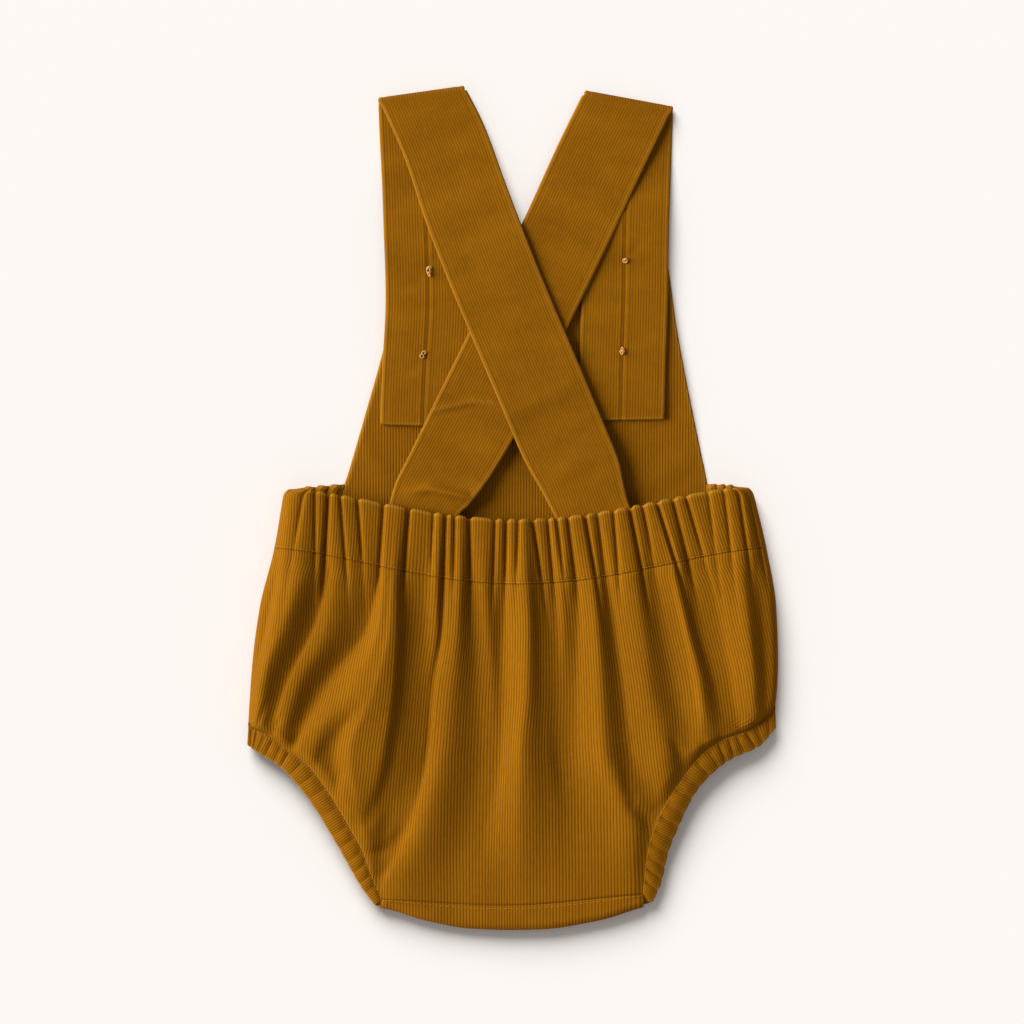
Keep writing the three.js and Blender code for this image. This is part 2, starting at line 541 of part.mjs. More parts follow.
// The crotch band: a strip folded round the bottom edge, from the back down to the front.
function crotchBand() {
  const back = backRow(CROTCH, PLY, 14);
  const rows = back.map(({ p: seam }) => {
    const bottom = CROTCH_EDGE(seam.x) + PLY / 2;
    const radius = (seam.z - PLY / 2) / 2;
    const low = PLY / 2;
    const section = [{ y: seam.y - SEAM, z: seam.z, angle: QUARTER }];
    section.push({ y: (seam.y - SEAM + bottom + radius) / 2, z: seam.z, angle: QUARTER });
    for (const angle of steps(QUARTER, -QUARTER, 5)) {
      const [y, z] = [bottom + radius * (1 - Math.cos(angle)), low + radius * (1 + Math.sin(angle))];
      section.push({ y, z, angle });
    }
    section.push({ y: seam.y - SEAM, z: low, angle: -QUARTER });
    return section.map(({ y, z, angle }) => ({
      p: new THREE.Vector3(seam.x, y, z),
      out: new THREE.Vector3(0, -Math.cos(angle), Math.sin(angle)),
    }));
  });
  return clothWall(rows, PLY);
}
addMesh('crotch_band', crotchBand(), CORD);

// ---------------------------------------------------------------- bib, straps and buttons

const wasm = await Module();
wasm.setup();

function solid(geometry) {
  const bare = geometry.clone();
  bare.deleteAttribute('normal');
  bare.deleteAttribute('uv');
  const merged = mergeVertices(bare, 1e-4);
  return new wasm.Manifold(new wasm.Mesh({
    numProp: 3,
    vertProperties: new Float32Array(merged.attributes.position.array),
    triVerts: new Uint32Array(merged.index.array),
  }));
}

function fromSolid(body) {
  const { vertProperties, triVerts } = body.getMesh();
  const geometry = new THREE.BufferGeometry();
  geometry.setAttribute('position', new THREE.BufferAttribute(vertProperties, 3));
  geometry.setIndex(new THREE.BufferAttribute(triVerts, 1));
  return geometry;
}

function cylinder(radius, bottom, top, x, y, sides = 10) {
  const shape = new THREE.CylinderGeometry(radius, radius, top - bottom, sides);
  return solid(shape.rotateX(QUARTER).translate(x, y, (bottom + top) / 2));
}

// The bib, with a buttonhole for each button. Its lower edge follows the seam.
const BIB_ROWS = [
  ...FRONT_CASING_Y.toReversed(),
  ...BIB.map((row) => row.y).filter((y) => y > FRONT_TOP_Y),
];
const bibRows = BIB_ROWS.map((y) => {
  const { left, right, z } = bibAt(y);
  return steps(left, right, 6).map((x) => {
    const rowY = y === FRONT_SEAM_Y ? frontSeamY(x) : y;
    return { p: new THREE.Vector3(x, rowY, z), out: new THREE.Vector3(0, 0, 1) };
  });
});
const bib = BUTTONS.reduce((cloth, { x, y }) => {
  const hole = new THREE.BoxGeometry(BUTTONHOLE.width, BUTTONHOLE.length, 6).translate(x, y, bibAt(y).z);
  return cloth.subtract(solid(hole));
}, solid(clothWall(bibRows, BIB_WALL)));
addMesh('bib', fromSolid(bib), CORD);

// A strap, which turns over at its shoulder row. Its wall grows upwards on the back, outwards
// round the fold and downwards on the front end.
const FRONT_STEPS = 12;
const ROLL_STEPS = 4;
const BACK_STEPS = 18;
function strap(table) {
  const fold = table.findIndex((row) => row.over);
  const front = table.slice(0, fold + 1);
  const back = table.slice(fold);
  const line = ({ lx, ly, rx, ry, lz, rz }, shift, lift, out) => steps(0, 1, 4).map((t) => ({
    p: new THREE.Vector3(lerp(lx, rx, t), lerp(ly, ry, t), lerp(lz, rz, t) + lift).add(shift),
    out,
  }));
  const over = table[fold];
  const away = new THREE.Vector3(over.ly - over.ry, over.rx - over.lx, 0).normalize();
  const inset = away.clone().multiplyScalar(-(SHOULDER_ROLL + STRAP_WALL / 2));
  const none = new THREE.Vector3();
  const down = new THREE.Vector3(0, 0, -1);
  const up = new THREE.Vector3(0, 0, 1);
  const rows = [];
  const frontAt = rowsThrough(front, numbered(front));
  for (const k of steps(0, front.length - 1, FRONT_STEPS).slice(0, -1)) {
    rows.push(line(frontAt(k), none, 0, down));
  }
  for (const angle of steps(-QUARTER, QUARTER, ROLL_STEPS)) {
    const shift = inset.clone().addScaledVector(away, SHOULDER_ROLL * Math.cos(angle));
    const out = away.clone().multiplyScalar(Math.cos(angle)).addScaledVector(up, Math.sin(angle));
    rows.push(line(over, shift, SHOULDER_ROLL * (1 + Math.sin(angle)), out));
  }
  const high = { ...over, lz: over.lz + 2 * SHOULDER_ROLL, rz: over.rz + 2 * SHOULDER_ROLL };
  const topped = [high, ...back.slice(1)];
  const backAtRow = rowsThrough(topped, numbered(topped));
  for (const k of steps(0, topped.length - 1, BACK_STEPS).slice(1)) {
    rows.push(line(backAtRow(k), none, 0, up));
  }
  return clothWall(rows, STRAP_WALL);
}

// Each button is sewn on its strap through the buttonhole, and its thread is knotted above.
// Its profile is radius and height, from the middle of its underside round to its top.
const BUTTON_PROFILE = [
  [0, 0.9], [3.6, 0.9], [4.6, 0], [6.1, 0], [6.5, 1.2], [6.0, 2.4], [4.2, 2.4], [3.4, 1.7], [0, 1.7],
];
const CORNERS = [[-1, -1], [-1, 1], [1, -1], [1, 1]];
const holesOf = ({ x, y }) => CORNERS.map(([i, j]) => ({ x: x + i * HOLE_STEP, y: y + j * HOLE_STEP }));

function button(place) {
  const profile = BUTTON_PROFILE.map(([radius, z]) => new THREE.Vector2(radius, z));
  const disc = solid(new THREE.LatheGeometry(profile, 16).rotateX(QUARTER).translate(place.x, place.y, 0));
  const holes = holesOf(place).map(({ x, y }) => cylinder(BUTTON_HOLE, 0, BUTTON_HEIGHT, x, y, 6));
  return holes.reduce((body, hole) => body.subtract(hole), disc);
}

// The thread: its bars and legs, the pad that they gather in, and the shank up to the knot.
const BAR = { width: 0.9, height: 0.4 };
const LEG = 0.6;
const SEWN = 2.0; // height of the pad, above the button's dished middle
const PAD = 2.5;
const PAD_HEIGHT = 0.5;
const SHANK = 0.9;
const KNOT = 1.7;
const KNOT_LIFT = 1.3;
const STRAP_TOP = LEFT_STRAP[2].lz + STRAP_WALL / 2;
const STRAP_HOLE = 1.3;

function buttonThread(place) {
  const { x, y } = place;
  const knot = new THREE.SphereGeometry(KNOT, 8, 5).scale(1, 1, 0.75).translate(x, y, STRAP_TOP + KNOT_LIFT);
  const pad = cylinder(PAD, SEWN, SEWN + PAD_HEIGHT, x, y, 8);
  const overlap = PAD_HEIGHT / 2;
  const legs = holesOf(place).map((hole) => cylinder(LEG, BAR.height / 2, SEWN + overlap, hole.x, hole.y, 6));
  const bars = [-1, 1].map((side) => {
    const bar = new THREE.BoxGeometry(BAR.width, 2 * HOLE_STEP, BAR.height);
    return solid(bar.translate(x + side * HOLE_STEP, y, BAR.height));
  });
  const shank = cylinder(SHANK, SEWN + overlap, STRAP_TOP + KNOT_LIFT, x, y, 8);
  return fromSolid([pad, solid(knot), ...legs, ...bars].reduce((body, piece) => body.add(piece), shank));
}

for (const [name, table] of [['strap_left', LEFT_STRAP], ['strap_right', RIGHT_STRAP]]) {
  const own = BUTTONS.filter((place) => name.endsWith(place.name.split('_')[0]));
  const holes = own.map(({ x, y }) => cylinder(STRAP_HOLE, 0, STRAP_TOP + SEAM, x, y));
  const cloth = holes.reduce((body, hole) => body.subtract(hole), solid(strap(table)));
  addMesh(name, fromSolid(cloth), CORD);
}
for (const place of BUTTONS) {
  addMesh(`button_${place.name}`, fromSolid(button(place)), HORN);
  addMesh(`button_thread_${place.name}`, buttonThread(place), THREAD);
}

export default romper;
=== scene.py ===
# %% [markdown]
# # A baby's summer romper in fine-wale corduroy
# The romper lies back up on a pale table: gathered bloomers with an elastic waist and elastic
# legs, and two wide straps that cross on the back. Each strap folds over at the shoulder and is
# buttoned inside the bib, which lies underneath.
#
# Each cell makes one thing and prints what it made. The first cell loads the measured frame.
# Every piece made here takes the place of one or more of its parts and lies where they lie.

# %% Load the frame
import math

import bmesh
import bpy
import numpy as np
from mathutils import Matrix


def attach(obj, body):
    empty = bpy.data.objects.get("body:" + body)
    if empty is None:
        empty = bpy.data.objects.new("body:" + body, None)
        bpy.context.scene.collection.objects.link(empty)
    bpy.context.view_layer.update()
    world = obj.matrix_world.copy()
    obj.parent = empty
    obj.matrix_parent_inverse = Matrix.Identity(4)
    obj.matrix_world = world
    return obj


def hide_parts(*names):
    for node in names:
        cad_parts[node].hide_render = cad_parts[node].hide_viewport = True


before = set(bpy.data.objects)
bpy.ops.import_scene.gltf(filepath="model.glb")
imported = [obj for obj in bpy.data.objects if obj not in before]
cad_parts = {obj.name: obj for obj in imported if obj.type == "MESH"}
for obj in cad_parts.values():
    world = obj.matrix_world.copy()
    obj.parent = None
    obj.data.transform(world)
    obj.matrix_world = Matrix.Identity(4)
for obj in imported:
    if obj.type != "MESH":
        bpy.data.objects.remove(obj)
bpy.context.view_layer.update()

# %% [markdown]
# ## Camera
# The garment was laid out flat and seen from straight above, so the camera looks down with the
# shoulders at the top. A long lens keeps the edges of the garment from leaning. The camera comes
# first, because it settles how fine the cloth has to be: one wale is about three dots wide.

# %% Add the camera
CAMERA_PLACE = (-0.00025, -0.00225, 1.427)


def add_object(name, data):
    piece = bpy.data.objects.new(name, data)
    bpy.context.collection.objects.link(piece)
    return piece


def add_camera(place, lens=100, sensor=36):
    """A camera that looks straight down, with +Y up in its picture."""
    data = bpy.data.cameras.new("camera")
    data.lens = lens
    data.sensor_width = sensor
    camera = add_object("camera", data)
    camera.location = place
    bpy.context.scene.camera = camera
    return camera


camera = add_camera(CAMERA_PLACE)
print("camera at", tuple(camera.location))

# %% [markdown]
# ## Light and table
# Two soft lamps and a weak even light. One lamp stands beyond the shoulders and a little to the
# left, and throws the soft shadow below the garment. The other is low on the left and rakes
# across the cloth: it lights the left side of each fold and leaves the right side dark, which is
# what shows that the bloomers are full. In a studio, cards keep one lamp's light off what another
# one lights. Here light linking does that: the first lamp lights only the table and the second
# all but the table. Sun lamps are used because their light is even all over.

# %% Set the table and the light
TABLE_COLOUR = (0.935, 0.90, 0.87, 1)
HIGH_LAMP = dict(towards=(-0.50, 1.25, 0.85), strength=4.2, angle=math.radians(38))
LOW_LAMP = dict(towards=(-0.945, 0.24, 0.49), strength=6.9, angle=math.radians(50))
SKY_STRENGTH = 0.34
SKY_COLOUR = (1.0, 0.975, 0.955, 1)


def add_lamp(name, towards, strength, angle):
    """A sun lamp that shines from the direction `towards`."""
    data = bpy.data.lights.new(name, "SUN")
    data.energy = strength
    data.angle = angle
    lamp = add_object(name, data)
    x, y, z = towards
    lamp.rotation_euler = (0, math.atan2(math.hypot(x, y), z), math.atan2(y, x))
    return lamp


def add_table(size=3.0):
    """A plain pale table top just under the cloth."""
    mesh = bpy.data.meshes.new("table")
    half = size / 2
    corners = [(-half, -half, 0), (half, -half, 0), (half, half, 0), (-half, half, 0)]
    mesh.from_pydata(corners, [], [(0, 1, 2, 3)])
    paint = bpy.data.materials.new("pale table")
    paint.use_nodes = True
    shader = paint.node_tree.nodes["Principled BSDF"]
    shader.inputs["Base Color"].default_value = TABLE_COLOUR
    shader.inputs["Roughness"].default_value = 0.9
    shader.inputs["Specular IOR Level"].default_value = 0.1
    mesh.materials.append(paint)
    table_top = add_object("table", mesh)
    return table_top


def link_light(lamp, piece, state):
    """INCLUDE: the lamp lights this piece only. EXCLUDE: it lights everything but this piece."""
    card = bpy.data.collections.new(f"card for the {lamp.name}")
    card.objects.link(piece)
    lamp.light_linking.receiver_collection = card
    card.collection_objects[0].light_linking.link_state = state


table_top = add_table()
link_light(add_lamp("high lamp", **HIGH_LAMP), table_top, "INCLUDE")
link_light(add_lamp("low lamp", **LOW_LAMP), table_top, "EXCLUDE")
sky = bpy.data.worlds.new("even light")
sky.use_nodes = True
sky_light = sky.node_tree.nodes["Background"].inputs
sky_light["Color"].default_value = SKY_COLOUR
sky_light["Strength"].default_value = SKY_STRENGTH
bpy.context.scene.world = sky
bpy.context.scene.view_settings.view_transform = "Standard"
print("lamps from", HIGH_LAMP["towards"], "and", LOW_LAMP["towards"])

# %% [markdown]
# ## Sizes
# The tables are in millimetres, as on a pattern cutter's sheet, and MM turns them into Blender's
# metres when a mesh is made. Each table has named columns and a row for each line across the
# cloth, each fold or each crease.

# %% Name the sizes
MM = 0.001
PLY = 1.4
CASING = 2.2
BIB_WALL = 1.6
STRAP_WALL = 1.8
SEAM = 0.3
WALE = 1.45
CASING_DEEP = 30  # from the waist edge to the waist seam
FINE = 1800  # steps in a line across before it is divided again
QUARTER = math.pi / 2


def table(columns, *rows):
    """Named columns of numbers, one row for each line."""
    return dict(zip(columns.split(), np.array(rows, float).T))


def creases(*rows):
    """Rows of a depth (below 0 for a ridge), a width and the points of a path."""
    return [dict(depth=depth, width=width, path=path) for depth, width, *path in rows]


# The bloomers' outline from the waist edge (0) over the waist seam (1) and the top of the leg
# (4) to the crotch (12). Each row has both ends of a line across, how far its middle dips, how
# high its ends lie, how far in it rounds over, and how much of a quarter turn its ends make.
WAIST_SEAM, LEG_TOP, CROTCH = 1, 4, 12
OUTLINE = table(
    "lx ly rx ry dip rim round turn",
    (-114.0, 9.8, 119.6, 10.8, 16.0, 5.0, 8, 1.0),
    (-119.0, -20.2, 126.9, -20.2, 18.0, 5.0, 9, 1.0),
    (-126.3, -50.0, 131.8, -50.0, 15.0, 5.0, 10, 1.0),
    (-130.0, -78.0, 132.7, -76.0, 12.0, 5.0, 10, 1.0),
    (-131.9, -107.3, 131.2, -99.0, 9.0, 5.0, 9, 0.9),
    (-122.8, -113.3, 117.3, -111.3, 8.0, 6.6, 9, 0.35),
    (-113.5, -119.8, 106.8, -114.8, 7.5, 8.0, 9, 0.2),
    (-101.5, -129.3, 95.3, -121.8, 7.0, 8.8, 9, 0.15),
    (-92.3, -141.3, 82.8, -137.5, 6.5, 9.0, 9, 0.15),
    (-82.3, -157.8, 73.2, -153.0, 6.0, 9.0, 9, 0.15),
    (-74.8, -171.8, 68.0, -168.0, 5.5, 8.4, 8, 0.15),
    (-70.3, -184.3, 66.0, -181.0, 5.0, 7.2, 7, 0.2),
    (-65.3, -195.8, 65.0, -193.2, 4.0, 6.2, 6, 0.3),
)
# The outer edge of each leg casing, one row for each line of the outline from 4 to 12.
LEG_EDGE = table(
    "lx ly rx ry back front",
    (-132.4, -118.0, 131.5, -109.5, 6.4, 3.6),
    (-126.8, -121.8, 122.5, -118.9, 7.0, 2.2),
    (-117.3, -127.6, 110.0, -124.4, 7.8, 1.1),
    (-108.8, -135.6, 101.5, -130.2, 8.4, 1.1),
    (-100.2, -146.4, 91.0, -141.5, 8.6, 1.1),
    (-90.0, -162.8, 82.7, -158.0, 8.4, 1.1),
    (-81.7, -177.4, 77.0, -172.4, 7.8, 1.1),
    (-75.4, -188.5, 73.9, -186.4, 7.0, 1.1),
    (-68.2, -198.4, 69.4, -196.8, 6.2, 1.1),
)
CROTCH_EDGE = table(
    "x y",
    (-66, -200.2), (-61.8, -201.0), (-44.3, -206.3), (-21, -210.6), (0, -211.3),
    (14, -211.0), (44.3, -206.3), (63.3, -200.4), (66, -199.6),
)
print("wales across the hips:", round(262 / WALE))

# %% [markdown]
# ## The folds of the back
# The cloth falls from the waist in folds that lean and fade as real ones do, so they are listed
# one by one. Each row below is a line that runs down the back: where it is at six heights, and
# how high the cloth stands there. Lines that lie close together with different heights make a
# steep wall, and lines far apart make a soft swell.

# %% Set the folds
FOLD_Y = (-34, -60, -90, -122, -155, -188)
FULLNESS = 1.5  # how high all the folds stand
FOLDS = [
    # the roll at the left edge
    ((-118, -123.2, -130, -133, -140, -140), (-1.8, -1.8, -0.6, 0, 0, 0)),
    ((-112.5, -119.3, -128, -131.5, -138, -138), (1.3, 1.1, 1, 0.2, 0, 0)),
    ((-105.5, -114.5, -125.5, -129, -136, -136), (2.6, 2.2, 1.8, 0.3, 0, 0)),
    ((-91.5, -99.8, -114.1, -123.5, -131.1, -131.6), (-0.8, -1.8, -1.4, 0, 0, 0)),
    # a thin ridge beside it
    ((-89.5, -97.7, -112.1, -120.5, -128.1, -128.6), (0.5, 0, 0, 0.4, 0, 0)),
    ((-86, -92, -108.5, -117, -125.4, -125.7), (1.2, 0.9, 0.3, 0.7, 0, 0)),
    # the broad bulge over the left hip
    ((-66.5, -73.5, -95.5, -111, -121.7, -121.8), (-0.2, -1.8, -3, -0.4, 0, 0)),
    ((-64.8, -69.2, -88, -107, -112, -112), (1, 0.4, -0.6, 0.4, 0, 0)),
    ((-63.4, -66.3, -79, -99, -100, -100), (1.7, 2.2, 2, 0.9, 0.5, 0)),
    ((-61, -63, -73, -90, -85.1, -78), (1.9, 2.7, 3, -0.4, 0.2, -0.4)),
    ((-60, -61.7, -70, -84.5, -79.1, -74), (2.1, 3, 3.4, 0.9, 0.5, -0.2)),
    ((-59.5, -61, -68, -79.5, -75, -72.5), (2.3, 3.2, 3.7, 2.2, 0.7, 0)),
    ((-57.5, -58, -60, -65, -70, -71), (2, 2.9, 3.1, 2.2, 0.3, -0.2)),
    ((-53.3, -53, -54.5, -57.5, -61, -70), (-0.6, -0.6, -0.2, 0, -1.2, -0.7)),
    ((-45, -45, -45.5, -48, -56, -69), (-0.8, -1.3, -1.2, -1.3, -1.1, -1)),
    # a sharp ridge left of the middle
    ((-37.2, -37.7, -42.1, -44.3, -52.2, -68), (0.7, -0.1, -1.4, -1.6, -1, -1)),
    ((-34.2, -35.2, -40, -42.8, -50.5, -66.5), (-1.2, -1.2, -1.6, -1.9, -0.8, -0.9)),
    ((-32, -33, -37.4, -40.8, -48.2, -63.5), (0.4, 0.4, 0.2, -0.3, 0.3, 0.2)),
    ((-26, -27.5, -30.5, -34.5, -42.4, -55), (1.2, 1.5, 1.1, 0.8, 1.1, 0.9)),
    ((-21, -18.8, -16.5, -14.5, -18, -28), (-1, -1.2, -1.4, -1.8, -1.5, -0.7)),
    ((-13.7, -12.2, -10.2, -9.7, -13.5, -19.8), (0.6, -0.2, -1.2, -1.75, -1.45, -0.6)),
    # the fold in the middle
    ((-5.8, -5.3, -6, -6.8, -10.3, -13.6), (-0.7, -1.5, -1.6, -1.6, -1.1, -0.4)),
    ((0, 1, 1, -2, -4.4, -5.7), (0.9, 0.6, 0.5, 0.2, 0.2, -0.1)),
    ((6.5, 8, 7.5, 5, 5, 5), (2.1, 2.3, 2.3, 2.2, 1.5, 0.3)),
    ((13, 14, 15, 16.5, 20.3, 20.1), (-0.4, -0.2, 0, 0.2, 0.3, 0.2)),
    ((20.5, 21.5, 23.5, 24, 28.6, 28.3), (-0.9, -1.3, -1.4, -1.5, -0.5, 0)),
    # right of the middle
    ((25, 25.5, 26.5, 27.5, 32.6, 32.3), (0.4, -0.5, -1.4, -1.6, -0.6, 0)),
    ((31.8, 31.8, 30.8, 30.8, 37.1, 36.5), (-0.6, -1.2, -1.3, -1.4, -0.5, -0.1)),
    ((36, 36.5, 36.5, 37.5, 45.9, 45.5), (0.6, 0.4, 0.3, 0.1, 0, -0.1)),
    ((39.6, 42.1, 44.1, 46.1, 59.4, 58.2), (1.3, 1.9, 2.1, 1.9, 1.1, 0)),
    ((46.8, 50.2, 54.6, 58.6, 69, 66.5), (-1.2, -1.4, -1, -0.7, -0.5, -0.3)),
    ((49.7, 53.7, 58.2, 62.2, 73.3, 70.7), (0.3, 0.2, 0.1, 0.1, -0.9, -0.5)),
    ((60, 64, 67.5, 75, 76, 74), (1.7, 1.5, 1.6, 1.8, -1.1, -0.6)),
    ((69.2, 74.2, 81.2, 87.2, 86.3, 83.7), (-0.9, -1, -0.9, 0.2, -1.5, -0.7)),
    # over the right hip
    ((77.3, 83.3, 88.8, 92.8, 89.1, 87.5), (0.6, 0.2, 0.2, 0.5, -1.2, -0.6)),
    ((80.5, 86.5, 93.5, 96, 92, 92), (1.7, 1.5, 1.6, 0.3, -1, -0.5)),
    ((87.7, 92.7, 101.7, 107.2, 98.7, 98.4), (-1.2, -1.3, -1.2, -1.2, -0.6, 0)),
    ((98.2, 102.2, 107.7, 112.2, 109.3, 108.7), (-0.4, -1, -1.1, -1.4, 0, 0)),
    ((105.4, 108.9, 112.9, 115.4, 112.8, 112.4), (0.8, 0.7, 0.1, -1.2, 0, 0)),
    ((114, 117, 119.7, 120, 118, 118), (2, 2.2, 1.2, -0.8, 0, 0)),
    ((122, 124.5, 126, 126, 126, 126), (-0.8, -1, -1.2, -0.9, 0, 0)),
    ((129, 131, 131.5, 130, 132, 132), (0.8, 1.2, 1.2, 0.4, 0, 0)),
]
# How high the back lies on the whole, and how strong folds and gathers are down its length.
BACK = table(
    "y level folds gathers",
    (12, 12.4, 0.10, 0.9),
    (-10, 12.8, 0.20, 1.0),
    (-28, 13.0, 0.55, 1.0),
    (-38, 13.2, 0.85, 0.7),
    (-52, 13.4, 1.0, 0.25),
    (-72, 13.4, 1.0, 0.0),
    (-105, 13.3, 1.05, 0.0),
    (-130, 13.2, 1.2, 0.0),
    (-165, 11.8, 1.1, 0.0),
    (-198, 8.4, 0.6, 0.0),
)
print(len(FOLDS), "fold lines at", len(FOLD_Y), "heights")

# %% [markdown]
# ## The gathers at the waist
# Elastic inside the casing pulls the cloth into small pleats. What the eye sees is the dark
# creases between them, and those are anything but even. So the table lists the creases: where
# each one starts at the waist edge, where it meets the seam, how deep it is and how far down it
# lasts, where 1 is the seam.

# %% Set the gathers
GATHERS = table(
    "edge seam depth length",
    (-118.0, -123.0, 0.6, 1.2),
    (-103.5, -108.5, 1.0, 0.7),
    (-98.0, -98.0, 1.2, 1.3),
    (-91.5, -93.3, 3.2, 1.6),
    (-85.5, -83.0, 1.7, 1.4),
    (-77.0, -74.5, 1.9, 0.9),
    (-64.0, -66.0, 2.0, 1.5),
    (-51.5, -54.0, 3.4, 1.8),
    (-39.0, -40.5, 1.3, 0.8),
    (-33.0, -34.5, 2.1, 1.5),
    (-28.5, -29.0, 1.5, 1.0),
    (-21.5, -21.0, 3.2, 1.8),
    (-8.5, -9.5, 2.0, 1.4),
    (-3.0, -3.5, 2.6, 1.7),
    (3.1, 2.1, 1.4, 0.8),
    (10.1, 14.9, 3.2, 1.6),
    (17.6, 20.6, 1.8, 1.3),
    (22.1, 26.1, 1.8, 0.7),
    (27.6, 31.6, 2.0, 1.4),
    (36.1, 41.6, 3.0, 1.6),
    (42.3, 46.3, 1.4, 0.8),
    (50.3, 52.8, 1.8, 1.2),
    (58.3, 64.3, 3.4, 1.7),
    (64.8, 70.8, 1.8, 0.7),
    (71.8, 81.3, 3.2, 1.5),
    (79.8, 87.3, 2.4, 1.6),
    (86.3, 95.3, 1.8, 0.9),
    (97.3, 101.3, 1.0, 0.6),
    (105.3, 108.8, 1.2, 1.1),
    (112.3, 116.8, 1.8, 1.4),
    (116.9, 123.3, 2.2, 1.5),
    (122.0, 129.0, 0.6, 1.0),
)
PLEAT_RISE = 0.8
PLEAT_DEPTH = 0.6
PLEAT_STOP = 9  # how sharply a crease ends
PLEAT_LEAN = 0.62  # below 1 the left side of a pleat is the steep one
GROOVE = 1.0  # how wide the creases are
print(len(GATHERS["edge"]) - 1, "pleats")

# %% [markdown]
# ## Creases near the legs
# The leg elastic pulls the cloth too. Each crease below is a short groove that runs from the
# panel into the leg casing, given by a few points, its depth and its width.

# %% Set the creases of the back
CREASES = creases(
    (1.8, 2.8, (55, -128), (56.8, -137.3), (60.3, -149), (69, -157.5), (84, -159.5)),
    (1.7, 2.2, (79, -112), (81.6, -120), (84.6, -130.3), (88.4, -136), (96, -138.5)),
    (1.6, 1.3, (94.2, -117), (96.6, -123.5), (101, -131)),
    (1.4, 1.3, (110.3, -104.5), (112.5, -110.5), (115.5, -119)),
    (1.3, 1.3, (117.3, -102.5), (119.4, -108), (123.5, -117.5)),
    (1.0, 1.3, (102.5, -113), (104.5, -117.5), (108.5, -124)),
    (1.1, 1.3, (79, -140), (83.5, -143.5), (89.5, -146.3)),
    (1.2, 1.3, (69, -149.2), (76, -151.8), (85, -154.8)),
    (0.8, 1.0, (66, -168.5), (71, -169.8), (79, -171.0)),
    (1.4, 3.0, (-58, -112), (-61, -128), (-66.5, -146), (-73, -156), (-84, -162)),
    (1.4, 2.0, (-54, -158), (-58.5, -166.5), (-65, -171), (-78, -173.2)),
    (0.7, 1.2, (-62, -180), (-66, -183), (-73, -186)),
    (0.9, 1.6, (-93, -118), (-97, -127), (-103, -136)),
    (0.8, 2.0, (-84, -128), (-88, -139), (-95, -150)),
    (1.1, 1.5, (-105, -110), (-109, -118.5), (-114.5, -127)),
    (1.1, 1.3, (-115.5, -104), (-119, -111.5), (-124, -120.5)),
    (1.0, 1.2, (-122.5, -97), (-126, -106), (-129, -116)),
    (0.7, 1.6, (-74, -146), (-79, -155), (-87, -163)),
)
print(len(CREASES), "creases")

# %% [markdown]
# ## Curves through the tables
# A plain spline swings past its points and would put bumps beside each crease. This one keeps
# between its points (a monotone cubic). `between_lines` does the same across the cloth, where
# the lines themselves move with y.

# %% Write the curve helpers
CREASE_FADE = dict(start=0.06, span=0.84)  # the stretch of half a sine wave that a crease follows


def cubic(t, span, start, end, start_slope, end_slope):
    """A cubic from start to end over a span, at t from 0 to 1."""
    t2 = t * t
    t3 = t2 * t
    ends = (2 * t3 - 3 * t2 + 1) * start + (3 * t2 - 2 * t3) * end
    return ends + (t3 - 2 * t2 + t) * span * start_slope + (t3 - t2) * span * end_slope


def gentle_slopes(x, y):
    """Slopes at the points that never let the curve swing past them. Points run down axis 0."""
    rise = np.diff(y, axis=0) / np.maximum(np.diff(x, axis=0), 1e-6)
    before = np.concatenate([rise[:1], rise])
    after = np.concatenate([rise, rise[-1:]])
    same_way = before * after > 0
    total = np.where(same_way, before + after, 1)
    return np.where(same_way, 2 * before * after / total, 0)


def through(stations, values):
    """A smooth curve through a column of a table."""
    x = np.asarray(stations, float)
    y = np.asarray(values, float)
    if x[0] > x[-1]:
        x = x[::-1]
        y = y[::-1]
    slope = gentle_slopes(x, y)

    def curve(at):
        at = np.clip(np.asarray(at, float), x[0], x[-1])
        i = np.clip(np.searchsorted(x, at, side="right") - 1, 0, len(x) - 2)
        span = x[i + 1] - x[i]
        return cubic((at - x[i]) / span, span, y[i], y[i + 1], slope[i], slope[i + 1])

    return curve


def rows_through(columns, stations=None):
    """The same for every column of a table: a function that gives a row at any station."""
    first = next(iter(columns.values()))
    stations = np.arange(len(first)) if stations is None else stations
    curves = {name: through(stations, values) for name, values in columns.items()}
    return lambda at: {name: curve(at) for name, curve in curves.items()}


def between_lines(lines, values, x, smooth=True):
    """The value at x between lines that cross each column. lines and values are (line, point)."""
    slope = gentle_slopes(lines, values)
    i = np.clip((lines <= x).sum(axis=0) - 1, 0, len(lines) - 2)
    n = np.arange(x.size)
    span = np.maximum(lines[i + 1, n] - lines[i, n], 1e-6)
    t = np.clip((x - lines[i, n]) / span, 0, 1)
    if not smooth:
        return values[i, n] * (1 - t) + values[i + 1, n] * t
    return cubic(t, span, values[i, n], values[i + 1, n], slope[i, n], slope[i + 1, n])


def line_y(line, x):
    """y along one line across the bloomers, which dips towards its middle."""
    t = np.clip((x - line["lx"]) / (line["rx"] - line["lx"]), 0, 1)
    return line["ly"] + (line["ry"] - line["ly"]) * t - line["dip"] * np.sin(np.pi * t) ** 1.5


def near_path(x, y, path):
    """Distance to a path of points, and how far along it the nearest point is, from 0 to 1."""
    best = np.full(x.shape, 1e9)
    along = np.zeros(x.shape)
    points = np.asarray(path, float)
    for i, (a, b) in enumerate(zip(points[:-1], points[1:])):
        way = b - a
        t = np.clip(((x - a[0]) * way[0] + (y - a[1]) * way[1]) / (way @ way), 0, 1)
        gap = np.hypot(x - a[0] - t * way[0], y - a[1] - t * way[1])
        along = np.where(gap < best, (i + t) / (len(points) - 1), along)
        best = np.minimum(gap, best)
    return best, along


def bell(gap, width):
    """1 on a line, fading away on both sides of it."""
    return np.exp(-((gap / width) ** 2))


